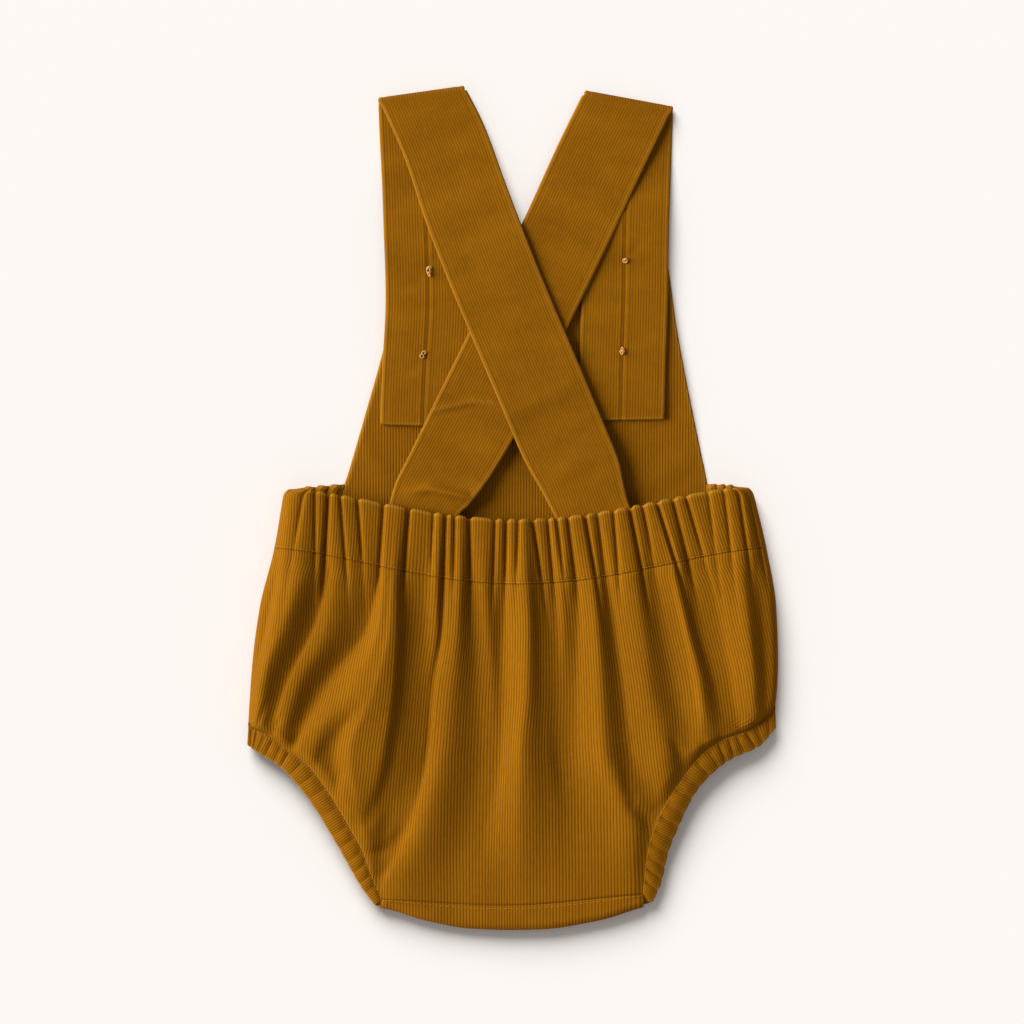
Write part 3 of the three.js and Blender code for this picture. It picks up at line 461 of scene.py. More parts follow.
def creased(x, y, rows):
    """How far a list of creases lowers the cloth at x, y."""
    drop = np.zeros(x.shape)
    for crease in rows:
        gap, along = near_path(x, y, crease["path"])
        fade = np.sin(np.pi * (CREASE_FADE["start"] + CREASE_FADE["span"] * along))
        drop += crease["depth"] * fade * bell(gap, crease["width"])
    return drop


outline_at = rows_through(OUTLINE)


def outline_row(k):
    """One line across the bloomers, with its named values as plain numbers."""
    return {name: float(value) for name, value in outline_at(k).items()}


def across(line):
    """x along a line in fine steps, closest together at its ends."""
    t = np.linspace(0, 1, FINE)
    return line["lx"] + (line["rx"] - line["lx"]) * (0.5 - 0.5 * np.cos(np.pi * t))


leg_edge_at = rows_through(LEG_EDGE)
back_at = rows_through(BACK, BACK["y"])
crotch_y = through(CROTCH_EDGE["x"], CROTCH_EDGE["y"])
print("waist seam dips to", round(float(line_y(outline_at(1), 0.0)), 1), "mm")

# %% [markdown]
# ## The surface of the back
# All the tables meet in one height: the level of the stuffed-looking bloomers, plus folds, plus
# gathers, less the creases, less a groove where the waist is stitched.

# %% Write the height of the back
FOLD_LINES = [(through(FOLD_Y, x), through(FOLD_Y, FULLNESS * np.array(z))) for x, z in FOLDS]
STITCH_SINK = 0.4
STITCH_WIDTH = 1.2
STITCH_REACH = 31  # the casing's depth at its middle


def seam_share(x, y):
    """0 at the waist edge and 1 at the waist seam, and on past 1 below it."""
    edge = line_y(outline_at(0), x)
    seam = line_y(outline_at(1), x)
    return (edge - y) / (edge - seam)


def gather_lines(x, y):
    """x of every crease of the waist at each point's height."""
    share = np.clip(seam_share(x, y), 0, 2.2)
    edge = GATHERS["edge"][:, None]
    return edge + (GATHERS["seam"][:, None] - edge) * share


def gather_height(x, y):
    """The pleats between the creases, above or below the level of the casing."""
    lines = gather_lines(x, y)
    i = np.clip((lines <= x).sum(axis=0) - 1, 0, len(lines) - 2)
    n = np.arange(x.size)
    after = np.maximum(x - lines[i, n], 0)
    before = np.maximum(lines[i + 1, n] - x, 0)
    lasts = 1 / (1 + np.exp(PLEAT_STOP * (seam_share(x, y)[None, :] - GATHERS["length"][:, None])))
    depth = GATHERS["depth"][:, None] * lasts
    left, right = depth[i, n], depth[i + 1, n]
    t = after / (after + before)
    t = t ** PLEAT_LEAN
    grooves = left * bell(after, GROOVE) + right * bell(before, GROOVE)
    return PLEAT_RISE * (1 - (2 * t - 1) ** 2) - PLEAT_DEPTH * grooves


def at_seam(x, y):
    """Follow a point on the casing down its pleat to the waist seam, and give its x there."""
    values = np.repeat(GATHERS["seam"][:, None], x.size, axis=1)
    along = between_lines(gather_lines(x, y), values, x, smooth=False)
    return np.where(seam_share(x, y) < 1, along, x)


def fold_height(x, y):
    lines = np.stack([where(y) for where, height in FOLD_LINES])
    heights = np.stack([height(y) for where, height in FOLD_LINES])
    return between_lines(lines, heights, at_seam(x, y))


def back_height(x, y):
    """Height of the top of the back's cloth, in millimetres."""
    row = back_at(y)
    sunk = STITCH_SINK * bell((seam_share(x, y) - 1) * STITCH_REACH, STITCH_WIDTH)
    folds = row["folds"] * fold_height(x, y)
    return row["level"] + folds + row["gathers"] * gather_height(x, y) - creased(x, y, CREASES) - sunk


probe = np.array([-60.0, -21.0, 5.0, 47.0])
print("heights at the hips:", back_height(probe, np.full(4, -75.0)).round(1))

# %% [markdown]
# ## A wall of cloth
# Cloth has a thickness, and its folded edges are round. `cloth` takes a grid of points on the
# outside of a piece, adds the inside at the right distance, and closes the border with a half
# round where the edge is folded, or a flat strip where the next piece is sewn on. The cloth's
# own length and width go into its UV map, in metres, so that the wales follow the folds. An
# attribute marks the folded edges, which are painted paler: partly worn pile, partly painted
# highlight.

# %% Write the cloth maker
RIM_STEPS = 4
# how far in from a folded edge the paler paint reaches, for worn pile and painted highlight
WEAR_AND_HIGHLIGHT_REACH = 0.5


def unit(v):
    return v / np.maximum(np.linalg.norm(v, axis=-1, keepdims=True), 1e-9)


def grid_normals(points, blur=0):
    """Normals of a grid of points, smoothed over a few neighbours where asked."""
    down = np.gradient(points, axis=0)
    across = np.gradient(points, axis=1)
    normals = unit(np.cross(across, -down))
    for _ in range(blur):
        padded = np.pad(normals, ((1, 1), (1, 1), (0, 0)), mode="edge")
        normals = padded[:-2, 1:-1] + padded[2:, 1:-1] + padded[1:-1, :-2] + padded[1:-1, 2:]
        normals = unit(normals + 2 * padded[1:-1, 1:-1])
    return normals


def border(rows, columns):
    """The grid's border as one loop of (row, column), with which way is out in rows, columns."""
    loop = [(0, j, -1, 0) for j in range(columns)]
    loop += [(i, columns - 1, 0, 1) for i in range(1, rows)]
    loop += [(rows - 1, j, 1, 0) for j in range(columns - 2, -1, -1)]
    loop += [(i, 0, 0, -1) for i in range(rows - 2, 0, -1)]
    return np.array(loop)


def from_first(grid, axis):
    """How far each point of a grid is from its first row (axis 0) or column (axis 1)."""
    steps = np.linalg.norm(np.diff(grid, axis=axis), axis=2)
    start = np.zeros_like(steps.take([0], axis))
    return np.cumsum(np.concatenate([start, steps], axis=axis), axis=axis)


def make_mesh(name, points, faces, smooth, uv, wear_and_highlight):
    """A mesh in metres with a UV map in metres and the attribute that marks where folded edges are painted
    paler, for worn pile and painted highlight.
    """
    mesh = bpy.data.meshes.new(name)
    mesh.from_pydata((points * MM).tolist(), [], faces.tolist())
    mesh.polygons.foreach_set("use_smooth", smooth)
    corner = np.empty(len(mesh.loops), int)
    mesh.loops.foreach_get("vertex_index", corner)
    layer = mesh.uv_layers.new(name="cloth")
    layer.data.foreach_set("uv", (uv[corner] * MM).ravel())
    worn_and_lit = mesh.attributes.new("wear_and_highlight", "FLOAT", "POINT")
    worn_and_lit.data.foreach_set("value", wear_and_highlight)
    mesh.validate()
    return add_object(name, mesh)


def cloth(name, top, thick, uv, folded="", out=1, inside=None, blur=6):
    """A closed wall of cloth under the grid `top`, in millimetres. `folded` names the borders
    that are folded edges: t and b for the first and last row, l and r for the columns. out is 1
    where the outside faces up and -1 where it faces down."""
    rows, columns = top.shape[:2]
    normals = grid_normals(top) * out
    if inside is None:
        inside = top - thick * grid_normals(top, blur) * out
    loop = border(rows, columns)
    i, j = loop[:, 0], loop[:, 1]
    round_here = np.zeros(len(loop))
    away = np.zeros((len(loop), 3))
    inner_i = np.clip(i + np.where(i == 0, 1, np.where(i == rows - 1, -1, 0)), 0, rows - 1)
    inner_j = np.clip(j + np.where(j == 0, 1, np.where(j == columns - 1, -1, 0)), 0, columns - 1)
    sides = (("t", i == 0, inner_i, j), ("b", i == rows - 1, inner_i, j),
             ("l", j == 0, i, inner_j), ("r", j == columns - 1, i, inner_j))
    for letter, here, ni, nj in sides:
        if letter in folded:
            step = unit(top[i, j] - top[ni, nj])
            away += np.where(here[:, None], step, 0)
            round_here = np.where(here, 1, round_here)
    outer_rim = top[i, j]
    inner_rim = inside[i, j]
    middle = (outer_rim + inner_rim) / 2
    spoke = (outer_rim - inner_rim) / 2
    radius = np.linalg.norm(spoke, axis=1, keepdims=True)
    away = away - (away * unit(spoke)).sum(axis=1, keepdims=True) * unit(spoke)
    away = unit(away) * round_here[:, None]
    uv_out = np.stack([np.sign(j - columns / 2) * ((j == 0) | (j == columns - 1)),
                       -1.0 * (i == 0) + 1.0 * (i == rows - 1)], axis=1)
    # The round rims and the cloth beside folded edges are painted paler: partly worn pile, partly painted
    # highlight.
    rings, ring_uv, ring_wear_and_highlight = [], [], []
    for step in range(1, RIM_STEPS):
        angle = math.pi * step / RIM_STEPS
        bulge = np.where(round_here[:, None] > 0, math.cos(angle), 1 - 2 * step / RIM_STEPS)
        rings.append(middle + spoke * bulge + away * radius * math.sin(angle))
        ring_uv.append(uv[i, j] + uv_out * radius * angle)
        ring_wear_and_highlight.append(round_here * math.sin(angle) ** 0.5)
    wear_and_highlight = np.zeros((rows, columns))
    reach = {
        "t": from_first(top, 0),
        "b": from_first(top[::-1], 0)[::-1],
        "l": from_first(top, 1),
        "r": from_first(top[:, ::-1], 1)[:, ::-1],
    }
    for letter in folded:
        wear_and_highlight = np.maximum(wear_and_highlight, np.exp(-reach[letter] / WEAR_AND_HIGHLIGHT_REACH))
    count = rows * columns
    points = np.concatenate([top.reshape(-1, 3), inside.reshape(-1, 3), *rings])
    all_uv = np.concatenate([uv.reshape(-1, 2), uv.reshape(-1, 2), *ring_uv])
    all_wear_and_highlight = np.concatenate([wear_and_highlight.ravel(), wear_and_highlight.ravel(), *ring_wear_and_highlight])
    at = np.arange(count).reshape(rows, columns)
    a, b, c, d = at[:-1, :-1], at[1:, :-1], at[1:, 1:], at[:-1, 1:]
    outer = np.stack([a, b, c, d], axis=-1).reshape(-1, 4)
    inner = outer[:, ::-1] + count
    chain = [at[i, j]]
    chain += [2 * count + k * len(loop) + np.arange(len(loop)) for k in range(RIM_STEPS - 1)]
    chain += [at[i, j] + count]
    strips = []
    for here, there in zip(chain[:-1], chain[1:]):
        strips.append(np.stack([here, np.roll(here, -1), np.roll(there, -1), there], axis=1))
    faces = np.concatenate([outer, inner, *strips])
    soft = np.ones(len(faces), bool)
    flat = (round_here + np.roll(round_here, -1)) == 0
    for k in range(RIM_STEPS):
        soft[2 * len(outer) + k * len(loop):][: len(loop)] = ~flat
    if out < 0:
        faces = faces[:, ::-1]
    return make_mesh(name, points, faces, soft, all_uv, all_wear_and_highlight)


def check_closed(piece):
    """Volume in cubic centimetres and how many edges don't have two faces."""
    body = bmesh.new()
    body.from_mesh(piece.data)
    loose = sum(1 for edge in body.edges if not edge.is_manifold)
    inside = body.calc_volume(signed=True) * 1e6
    faces = sum(len(face.verts) - 2 for face in body.faces)
    body.free()
    print(f"{piece.name}: {faces} triangles, {inside:.2f} cm3, {loose} open edges")


# %% [markdown]
# ## Corduroy
# Fine needlecord has about seventeen wales to the inch. Each wale is a rounded cord of pile with
# a thin channel beside it, which is painted darker as shade. One wave across the UV map gives
# the cords, and the same wave drives the painted shade and the bump. The pile lies a little this
# way and that, which mottles the colour, and a warm sheen catches the light on slopes.

# %% Make the corduroy
PILE = (0.235, 0.0905, 0.0022, 1)
# painted shade: the colour of the channels between the wales
PAINTED_CHANNEL_SHADE = (0.125, 0.040, 0.0008, 1)
# the paler colour of folded edges: partly worn pile, partly painted highlight
WORN_AND_LIT = (0.36, 0.16, 0.014, 1)
LEVEL = 0.7  # the mean of the wale wave
SURFACE = {
    "Roughness": 0.88,
    "Specular IOR Level": 0.03,
    "Sheen Weight": 0.03,
    "Sheen Roughness": 0.45,
    "Sheen Tint": (0.95, 0.55, 0.12, 1),
}


class Nodes:
    """A short way to add and join a material's nodes."""

    def __init__(self, material):
        material.use_nodes = True
        self.tree = material.node_tree
        self.shader = self.tree.nodes["Principled BSDF"]

    def add(self, kind, **settings):
        node = self.tree.nodes.new(kind)
        for name, value in settings.items():
            setattr(node, name, value)
        return node

    def join(self, source, target):
        self.tree.links.new(source, target)

    def math(self, operation, *inputs):
        node = self.add("ShaderNodeMath", operation=operation)
        for socket, value in zip(node.inputs, inputs):
            if isinstance(value, (int, float)):
                socket.default_value = value
            else:
                self.join(value, socket)
        return node.outputs[0]

    def plus(self, first, second):
        return self.math("ADD", first, second)

    def times(self, first, second):
        return self.math("MULTIPLY", first, second)

    def around_zero(self, noise, width):
        """A noise from 0 to 1, moved to lie evenly about 0."""
        return self.times(self.math("SUBTRACT", noise, 0.5), width)

    def bump(self, height, strength, distance):
        node = self.add("ShaderNodeBump")
        node.inputs["Strength"].default_value = strength
        node.inputs["Distance"].default_value = distance
        self.join(height, node.inputs["Height"])
        self.join(node.outputs[0], self.shader.inputs["Normal"])

    def noise(self, coordinates, scale, detail=2.0, stretch=(1, 1, 1)):
        mapping = self.add("ShaderNodeMapping")
        mapping.inputs["Scale"].default_value = stretch
        self.join(coordinates, mapping.inputs["Vector"])
        node = self.add("ShaderNodeTexNoise")
        node.inputs["Scale"].default_value = scale
        node.inputs["Detail"].default_value = detail
        self.join(mapping.outputs[0], node.inputs["Vector"])
        return node.outputs["Fac"]

    def mix(self, share, first, second, blend="MIX"):
        node = self.add("ShaderNodeMix", data_type="RGBA", blend_type=blend)
        for socket, value in ((node.inputs[0], share), (node.inputs[6], first), (node.inputs[7], second)):
            if isinstance(value, (int, float, tuple)):
                socket.default_value = value
            else:
                self.join(value, socket)
        return node.outputs[2]


def corduroy(name, depth=1.0, bands=0.0, wear_and_highlight=0.5):
    """depth is how deep the wales look, bands how much the pile is brushed across them, and the
    last how pale its folded edges are painted: partly worn pile, partly painted highlight."""
    material = bpy.data.materials.new(name)
    n = Nodes(material)
    uv = n.add("ShaderNodeUVMap", uv_map="cloth").outputs[0]
    place = n.add("ShaderNodeSeparateXYZ")
    n.join(uv, place.inputs[0])
    wander = n.noise(uv, 16, 1.0, (1.0, 0.35, 1))
    wave = n.times(n.plus(place.outputs[0], n.around_zero(wander, 0.0007)), math.pi / (WALE * MM))
    cord = n.math("POWER", n.math("ABSOLUTE", n.math("SINE", wave)), 0.75)
    fuzz = n.noise(uv, 2600, 2.0, (1, 0.6, 1))
    brushed = n.noise(uv, 55, 3.0, (1.0, 0.25, 1))
    tufts = n.noise(uv, 420, 2.0, (1.6, 0.5, 1))
    crossways = n.noise(uv, 70, 3.0, (0.3, 1.0, 1))
    lift = n.math("MINIMUM", n.plus(cord, n.around_zero(fuzz, 0.5)), 1.0)
    # Painted shade darkens the channels between the wales, on the same wave as the bump.
    colour = n.mix(n.plus(n.times(lift, depth), LEVEL * (1 - depth)), PAINTED_CHANNEL_SHADE, PILE)
    shade = n.plus(n.times(brushed, 0.34), n.times(tufts, 0.30))
    shade = n.plus(n.plus(shade, n.around_zero(crossways, bands)), 0.68)
    grey = n.add("ShaderNodeCombineColor")
    for socket in grey.inputs:
        n.join(shade, socket)
    colour = n.mix(1.0, colour, grey.outputs[0], "MULTIPLY")
    # Folded edges are painted paler here: partly worn pile, partly painted highlight.
    worn_and_lit = n.add("ShaderNodeAttribute", attribute_name="wear_and_highlight").outputs["Fac"]
    n.join(n.mix(n.times(worn_and_lit, wear_and_highlight), colour, WORN_AND_LIT), n.shader.inputs["Base Color"])
    n.bump(n.plus(cord, n.times(fuzz, 0.35)), 0.6 * depth, 0.00026)
    for socket, value in SURFACE.items():
        n.shader.inputs[socket].default_value = value
    return material


CORDUROY = corduroy("mustard needlecord")
BRUSHED = corduroy("brushed needlecord", depth=0.6, bands=0.5, wear_and_highlight=0.32)
print("materials:", CORDUROY.name, "and", BRUSHED.name)


def settle(piece, slot, *nodes):
    """Put a piece on the body and hide the parts it stands for. slot is not used."""
    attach(piece, "root")
    if nodes:
        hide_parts(*nodes)


def finish_cloth(piece, node, material=CORDUROY):
    """Give a cloth piece its finish and its place in the frame, and print how closed it is."""
    piece.data.materials.append(material)
    settle(piece, "corduroy", node)
    check_closed(piece)


# %% [markdown]
# ## The back of the bloomers
# Rows of points run across the back. Each row is made of many small steps, then divided again
# into equal lengths of cloth, so a steep wall gets as many points as its cloth needs. Wales are
# threads of the cloth and cannot cross a fold's crest as they please: a few of the fold lines
# are pinned to one wale each, and the rest spread between them.

# %% Write the rows of the bloomers
CORNER = 4.5  # how round the top corners of the waist casings are
BACK_COLUMNS = 400
LEG_LIFT = 1.4  # how far the panel's edge rises to meet the leg casing
PINS = [12, 17, 21, 23, 29, 30, 35]
PIN_FADE = (-128, -92)  # below this the folds leave their wales
PIN_LINES = [FOLD_LINES[pin][0] for pin in PINS]


def rounded(line, x, rim, top):
    """Height of a row whose ends round over from `rim` up to `top`."""
    start = (1 - line["turn"]) * QUARTER
    inset = np.minimum(np.minimum(x - line["lx"], line["rx"] - x) / line["round"], 1)
    angle = np.arccos(np.clip(math.cos(start) * (1 - inset), -1, 1))
    share = (np.sin(angle) - math.sin(start)) / (1 - math.sin(start))
    return rim + (top - rim) * share


def corner_inset(below):
    """How far in a casing's end lies at a distance below its top edge, so its corner is round."""
    left = np.maximum(CORNER - below, 0)
    return CORNER - np.sqrt(CORNER ** 2 - left ** 2)


def cloth_length(points):
    """How far each point of a line is along it."""
    steps = np.linalg.norm(np.diff(points, axis=0), axis=1)
    return np.concatenate([[0], np.cumsum(steps)])


def resample(points, length, count):
    """The same line in equal lengths, and how far along each point is."""
    at = np.linspace(0, length[-1], count)
    return np.stack([np.interp(at, length, points[:, axis]) for axis in range(3)], axis=1), at


def back_line(k):
    """One row of the back's outside, in fine steps."""
    line = outline_row(k)
    x = across(line)
    y = line_y(line, x)
    lift = LEG_LIFT * float(np.clip(k - LEG_TOP, 0, 1))
    z = rounded(line, x, line["rim"] + SEAM / 2 + lift, back_height(x, y))
    return np.stack([x, y, z], axis=1)


def pinned(points, length, shifts):
    """Which wale runs through each point: pinned lines keep theirs. `shifts` holds how far each
    pinned wale is from where plain measuring puts it. It keeps that where a line has run out, and
    below PIN_FADE, where folds cross the wales."""
    x, y = points[:, 0], points[:, 1]
    where = at_seam(x, y)
    middle = np.interp(0, x, length)
    stops = []
    for number, (line, wale) in enumerate(zip(PIN_LINES, PIN_WALES)):
        beyond = where - line(y)
        stop = np.interp(0, beyond, length)
        if beyond[0] < 0 < beyond[-1]:
            held = np.interp(np.interp(stop, length, y), PIN_FADE, (0, 1))
            shifts[number] += held * (wale - (stop - middle) - shifts[number])
        else:
            stop -= beyond[0] if beyond[0] > 0 else beyond[-1]
        stops.append(stop)
    return length - middle + np.interp(length, stops, shifts)


def pin_wales_at(k):
    """The wale of each pinned line, measured across one row from x = 0."""
    points = back_line(k)
    length = cloth_length(points)
    middle = np.interp(0, points[:, 0], length)
    where = at_seam(points[:, 0], points[:, 1])
    return [np.interp(0, where - line(points[:, 1]), length) - middle for line in PIN_LINES]


PIN_WALES = pin_wales_at(2.6)
print("pinned wales at", np.round(PIN_WALES, 1))


def back_grid(stations, columns=BACK_COLUMNS):
    """Rows of the back at the given stations of the outline, and their cloth coordinates."""
    rows, coordinates = [], []
    down = 0
    last = None
    shifts = [0.0] * len(PIN_LINES)
    for k in stations:
        fine = back_line(k)
        length = cloth_length(fine)
        points, at = resample(fine, length, columns)
        wale = np.interp(at, length, pinned(fine, length, shifts))
        centre = fine[len(fine) // 2]
        if last is not None:
            down -= np.hypot(centre[0] - last[0], centre[1] - last[1])
        last = centre
        rows.append(points)
        coordinates.append(np.stack([wale, np.full(columns, down)], axis=1))
    return np.array(rows), np.array(coordinates)


# %% [markdown]
# ### The waist casing
# The casing is the top of the back, folded over its elastic. Its folded top edge is round, and
# the gathers scallop it. Its lower edge is sewn to the panel, so that rim stays flat and the
# panel's wales run straight on.

# %% Make the back casing
SCALLOP = 0.55
CASING_COLUMNS = 620


def make_back_casing():
    inset = CASING / 2 / CASING_DEEP
    top, uv = back_grid(np.linspace(inset, WAIST_SEAM, 36), CASING_COLUMNS)
    puff = gather_height(top[0, :, 0], top[0, :, 1])
    fade = np.exp(-np.arange(len(top)) / 3.0)[:, None]
    top[:, :, 1] += SCALLOP * fade * (puff - puff.mean())
    for end, inward in ((0, 1), (-1, -1)):
        inset = corner_inset(np.abs(top[:, end, 1] - top[0, end, 1]))
        away = np.abs(top[:, :, 0] - top[:, end, 0][:, None])
        top[:, :, 0] += inward * inset[:, None] * bell(away, 2 * CORNER)
    piece = cloth("back_casing_cloth", top, CASING, uv, folded="tlr")
    finish_cloth(piece, "back_casing")
    return top


# %% [markdown]
# ### The back panel
# Below the waist seam the panel falls in its folds, down to the leg seams and the crotch seam.

# %% Make the back panel
BACK_LEG_ROWS = 58


def panel_stations(upper, leg):
    """Stations from the waist seam to the top of the legs, and on to the crotch."""
    return np.concatenate([np.linspace(WAIST_SEAM, LEG_TOP, upper)[:-1], np.linspace(LEG_TOP, CROTCH, leg)])


def make_back_panel():
    top, uv = back_grid(panel_stations(56, BACK_LEG_ROWS))
    piece = cloth("back_panel_cloth", top, PLY, uv, folded="lr")
    finish_cloth(piece, "back_panel")
    return top, uv


# %% [markdown]
# ### Leg casings
# Each leg edge has its own strip of cord, folded round elastic. It is cut across the wales, so
# its wales run from the seam to the edge, and the elastic creases it from side to side. The
# creases are listed by where they cross the leg, from the hip (0) to the crotch (8).

# %% Make the leg casings
LEG_TILT = 0.9
LEG_ROWS = 190
LEG_COLUMNS = 19
LEG_TURN = 8  # rows that turn the corner at the crotch
LEG_GATHERS = {
    -1: table(
        "at depth",
        (0, 0.2), (0.30, 1.0), (0.62, 1.3), (0.98, 0.8), (1.38, 1.5), (1.85, 1.1), (2.2, 1.4),
        (2.75, 0.9), (3.3, 0.6), (3.9, 0.45), (4.5, 0.4), (5.05, 0.8), (5.45, 1.2), (5.95, 0.6),
        (6.4, 1.1), (6.9, 0.7), (7.35, 0.6), (8, 0.3),
    ),
    1: table(
        "at depth",
        (0, 0.2), (0.35, 1.2), (0.75, 1.4), (1.1, 1.6), (1.55, 1.3), (1.95, 1.5), (2.4, 1.8),
        (2.85, 1.0), (3.35, 1.7), (3.8, 1.2), (4.2, 1.5), (4.65, 1.0), (5.05, 1.9), (5.5, 0.9),
        (5.95, 1.5), (6.45, 1.4), (6.9, 1.3), (7.4, 1.2), (8, 0.3),
    ),
}
LEG_RISE = {"back": 0.4, "front": 0.25}
LEG_SHAPE = 0.42
LEG_DEPTH = {-1: 0.55, 1: 0.85}
LEG_PUFF = {"back": 0.7, "front": 0.3}
LEG_WIDTH = 13  # of the strip, seam to edge
LEG_CUT = 1.2  # how much longer than its edge the strip is
FOOT = dict(outer_z=4.4, inner_z=5.4, clear=1.2, outer_x=0.9, outer_y=0.6)  # its crotch end


def leg_relief(side, skin, k):
    """How far the casing stands in or out between its creases."""
    marks = LEG_GATHERS[side]
    i = np.clip(np.searchsorted(marks["at"], k, side="right") - 1, 0, len(marks["at"]) - 2)
    t = (k - marks["at"][i]) / (marks["at"][i + 1] - marks["at"][i])
    full = np.sin(np.pi * np.clip(t, 0, 1)) ** LEG_SHAPE
    depth = marks["depth"][i] * (1 - t) + marks["depth"][i + 1] * t
    share = LEG_DEPTH[side] if skin == "back" else 0.4
    return LEG_RISE[skin] * full - share * depth * (1 - full)


def leg_casing_grid(side, skin, seam):
    """The casing's outside and inside, from the panel's edge `seam` to the leg edge. Past the
    crotch end it turns down to the bottom edge, so that no corner is left open."""
    stations = np.linspace(0, CROTCH - LEG_TOP, len(seam))
    k = np.concatenate([np.linspace(0, CROTCH - LEG_TOP, LEG_ROWS), np.full(LEG_TURN, CROTCH - LEG_TOP)])
    x, y = ("lx", "ly") if side < 0 else ("rx", "ry")
    inner = np.stack([np.interp(k, stations, seam[:, axis]) for axis in range(3)], axis=1)
    edge = leg_edge_at(k)
    bow = np.sin(np.pi * k / (CROTCH - LEG_TOP))
    outer = np.stack([edge[x], edge[y]], axis=1)
    if skin == "front":
        outer[:, 0] -= side * FRONT_CUT * bow
    along = unit(outer - inner[:, :2])
    relief = leg_relief(side, skin, k)
    outer += along * (-CASING / 4 + 0.12 * relief[:, None])
    turn = np.concatenate([np.zeros(LEG_ROWS), np.linspace(0, 1, LEG_TURN + 1)[1:]])
    foot_y = float(crotch_y(inner[-1, 0])) + FOOT["clear"]
    inner[:, 1] += turn * (foot_y - inner[-1, 1])
    outer[:, 0] -= turn * side * FOOT["outer_x"]
    outer[:, 1] -= turn * FOOT["outer_y"]
    outward = 1 if skin == "back" else -1
    end = edge[skin] * (1 - turn) + FOOT["outer_z"] * turn
    if skin == "back":
        inner[:, 2] = inner[:, 2] * (1 - turn) + FOOT["inner_z"] * turn
    start = inner[:, 2] - outward * CASING / 2
    puff = LEG_PUFF[skin] * np.sqrt(np.maximum(bow, 0))
    t = np.linspace(0, 1, LEG_COLUMNS)[None, :]
    tilt = LEG_TILT * t ** 1.5
    middle = np.empty((len(k), LEG_COLUMNS, 3))
    for axis in range(2):
        middle[:, :, axis] = inner[:, axis:axis + 1] * (1 - t) + outer[:, axis:axis + 1] * t
    middle[:, :, 2] = start[:, None] * (1 - t) + end[:, None] * t
    middle[:, :, 2] += puff[:, None] * np.sin(np.pi * t) ** 1.5
    steep = np.sin(tilt)
    upright = outward * np.repeat(np.cos(tilt), len(k), 0)
    out = np.stack([along[:, :1] * steep, along[:, 1:] * steep, upright], axis=2)
    grip = np.sin(QUARTER * np.clip(t * 3, 0, 1)) * (1 - 0.65 * t ** 2)
    top = middle + out * (CASING / 2 + grip * relief[:, None])[:, :, None]
    run = cloth_length(outer)
    uv = np.stack(np.broadcast_arrays(LEG_CUT * run[:, None], LEG_WIDTH * t), axis=2)
    return top, middle - out * CASING / 2, uv


def make_leg_casing(side, skin, seam):
    top, inside, uv = leg_casing_grid(side, skin, seam)
    name = f"leg_casing_{'left' if side < 0 else 'right'}_{skin}"
    facing = side if skin == "back" else -side
    piece = cloth(f"{name}_cloth", top, CASING, uv, folded="r", out=facing, inside=inside)
    finish_cloth(piece, name)
    return top


# %% [markdown]
# ### The front of the bloomers
# The front lies on the table under the back. It is cut a little higher at the legs, and its ends
# turn up to the side seams. Pleats run down from its seam with the bib.

# %% Make the front panel
FRONT_TOP_Y, FRONT_SEAM_Y = 12, -22
FRONT_CUT = 4
FRONT_DIP = 2
FRONT_TURN = 0.2  # how much of a quarter turn its ends make beside the legs
FRONT_COLUMNS = 170
FRONT_LEG_ROWS = 56
FRONT_PLEATS = table(
    "top foot end half rise",
    (-106, -112, -88, 9, 1.5),
    (-90, -99, -70, 5, 0.8),
    (-74, -84, -118, 10, 1.6),
    (-62, -68, -66, 5, 0.7),
    (-50, -56, -96, 9, 1.2),
    (-20, -22, -60, 7, 0.6),
    (6, 7, -72, 8, 0.7),
    (34, 42, -104, 9, 1.3),
    (50, 58, -68, 5, 0.7),
    (62, 74, -112, 10, 1.6),
    (84, 92, -74, 6, 0.9),
    (104, 110, -82, 9, 1.5),
)


def front_at(k):
    """The front's outline: its side ends follow the back's, and its legs are cut higher."""
    line = outline_row(k)
    leg = np.clip((k - LEG_TOP) / (CROTCH - LEG_TOP), 0, 1)
    flat = np.clip((k - LEG_TOP) / 2, 0, 1)
    flat = flat * flat * (3 - 2 * flat)
    below = np.clip((k - WAIST_SEAM) / (CROTCH - WAIST_SEAM), 0, 1)
    line["lx"] += FRONT_CUT * math.sin(math.pi * leg)
    line["rx"] -= FRONT_CUT * math.sin(math.pi * leg)
    line["dip"] = FRONT_DIP + (line["dip"] - FRONT_DIP) * below
    line["turn"] += (FRONT_TURN - line["turn"]) * flat
    line["rim"] = (line["rim"] - SEAM / 2) * (1 - flat) + PLY / 2 * flat
    return line


def front_height(x, y):
    """Height of the outside of the front above the table: its pleats stand off it."""
    z = np.zeros(x.shape)
    for top, foot, end, half, rise in zip(*FRONT_PLEATS.values()):
        down = np.clip((y - FRONT_SEAM_Y) / (end - FRONT_SEAM_Y), 0, 1)
        off = np.abs(x - top - (foot - top) * down) / half
        ridge = np.where(off < 1, 0.5 + 0.5 * np.cos(np.pi * np.minimum(off, 1)), 0)
        z += rise * ridge * np.cos(QUARTER * down) ** 2
    return z


def front_grid(stations, columns=FRONT_COLUMNS):
    rows, coordinates = [], []
    for k in stations:
        line = front_at(k)
        x = across(line)
        y = line_y(line, x)
        rim = max(line["rim"] - PLY / 2 * (1 - line["turn"]), 0)
        z = rounded(line, x, rim, front_height(x, y))
        points = np.stack([x, y, z], axis=1)
        length = cloth_length(points)
        row, at = resample(points, length, columns)
        middle = np.interp(0, x, length)
        rows.append(row)
        coordinates.append(np.stack([at - middle, np.full(columns, y[FINE // 2])], axis=1))
    return np.array(rows), np.array(coordinates)


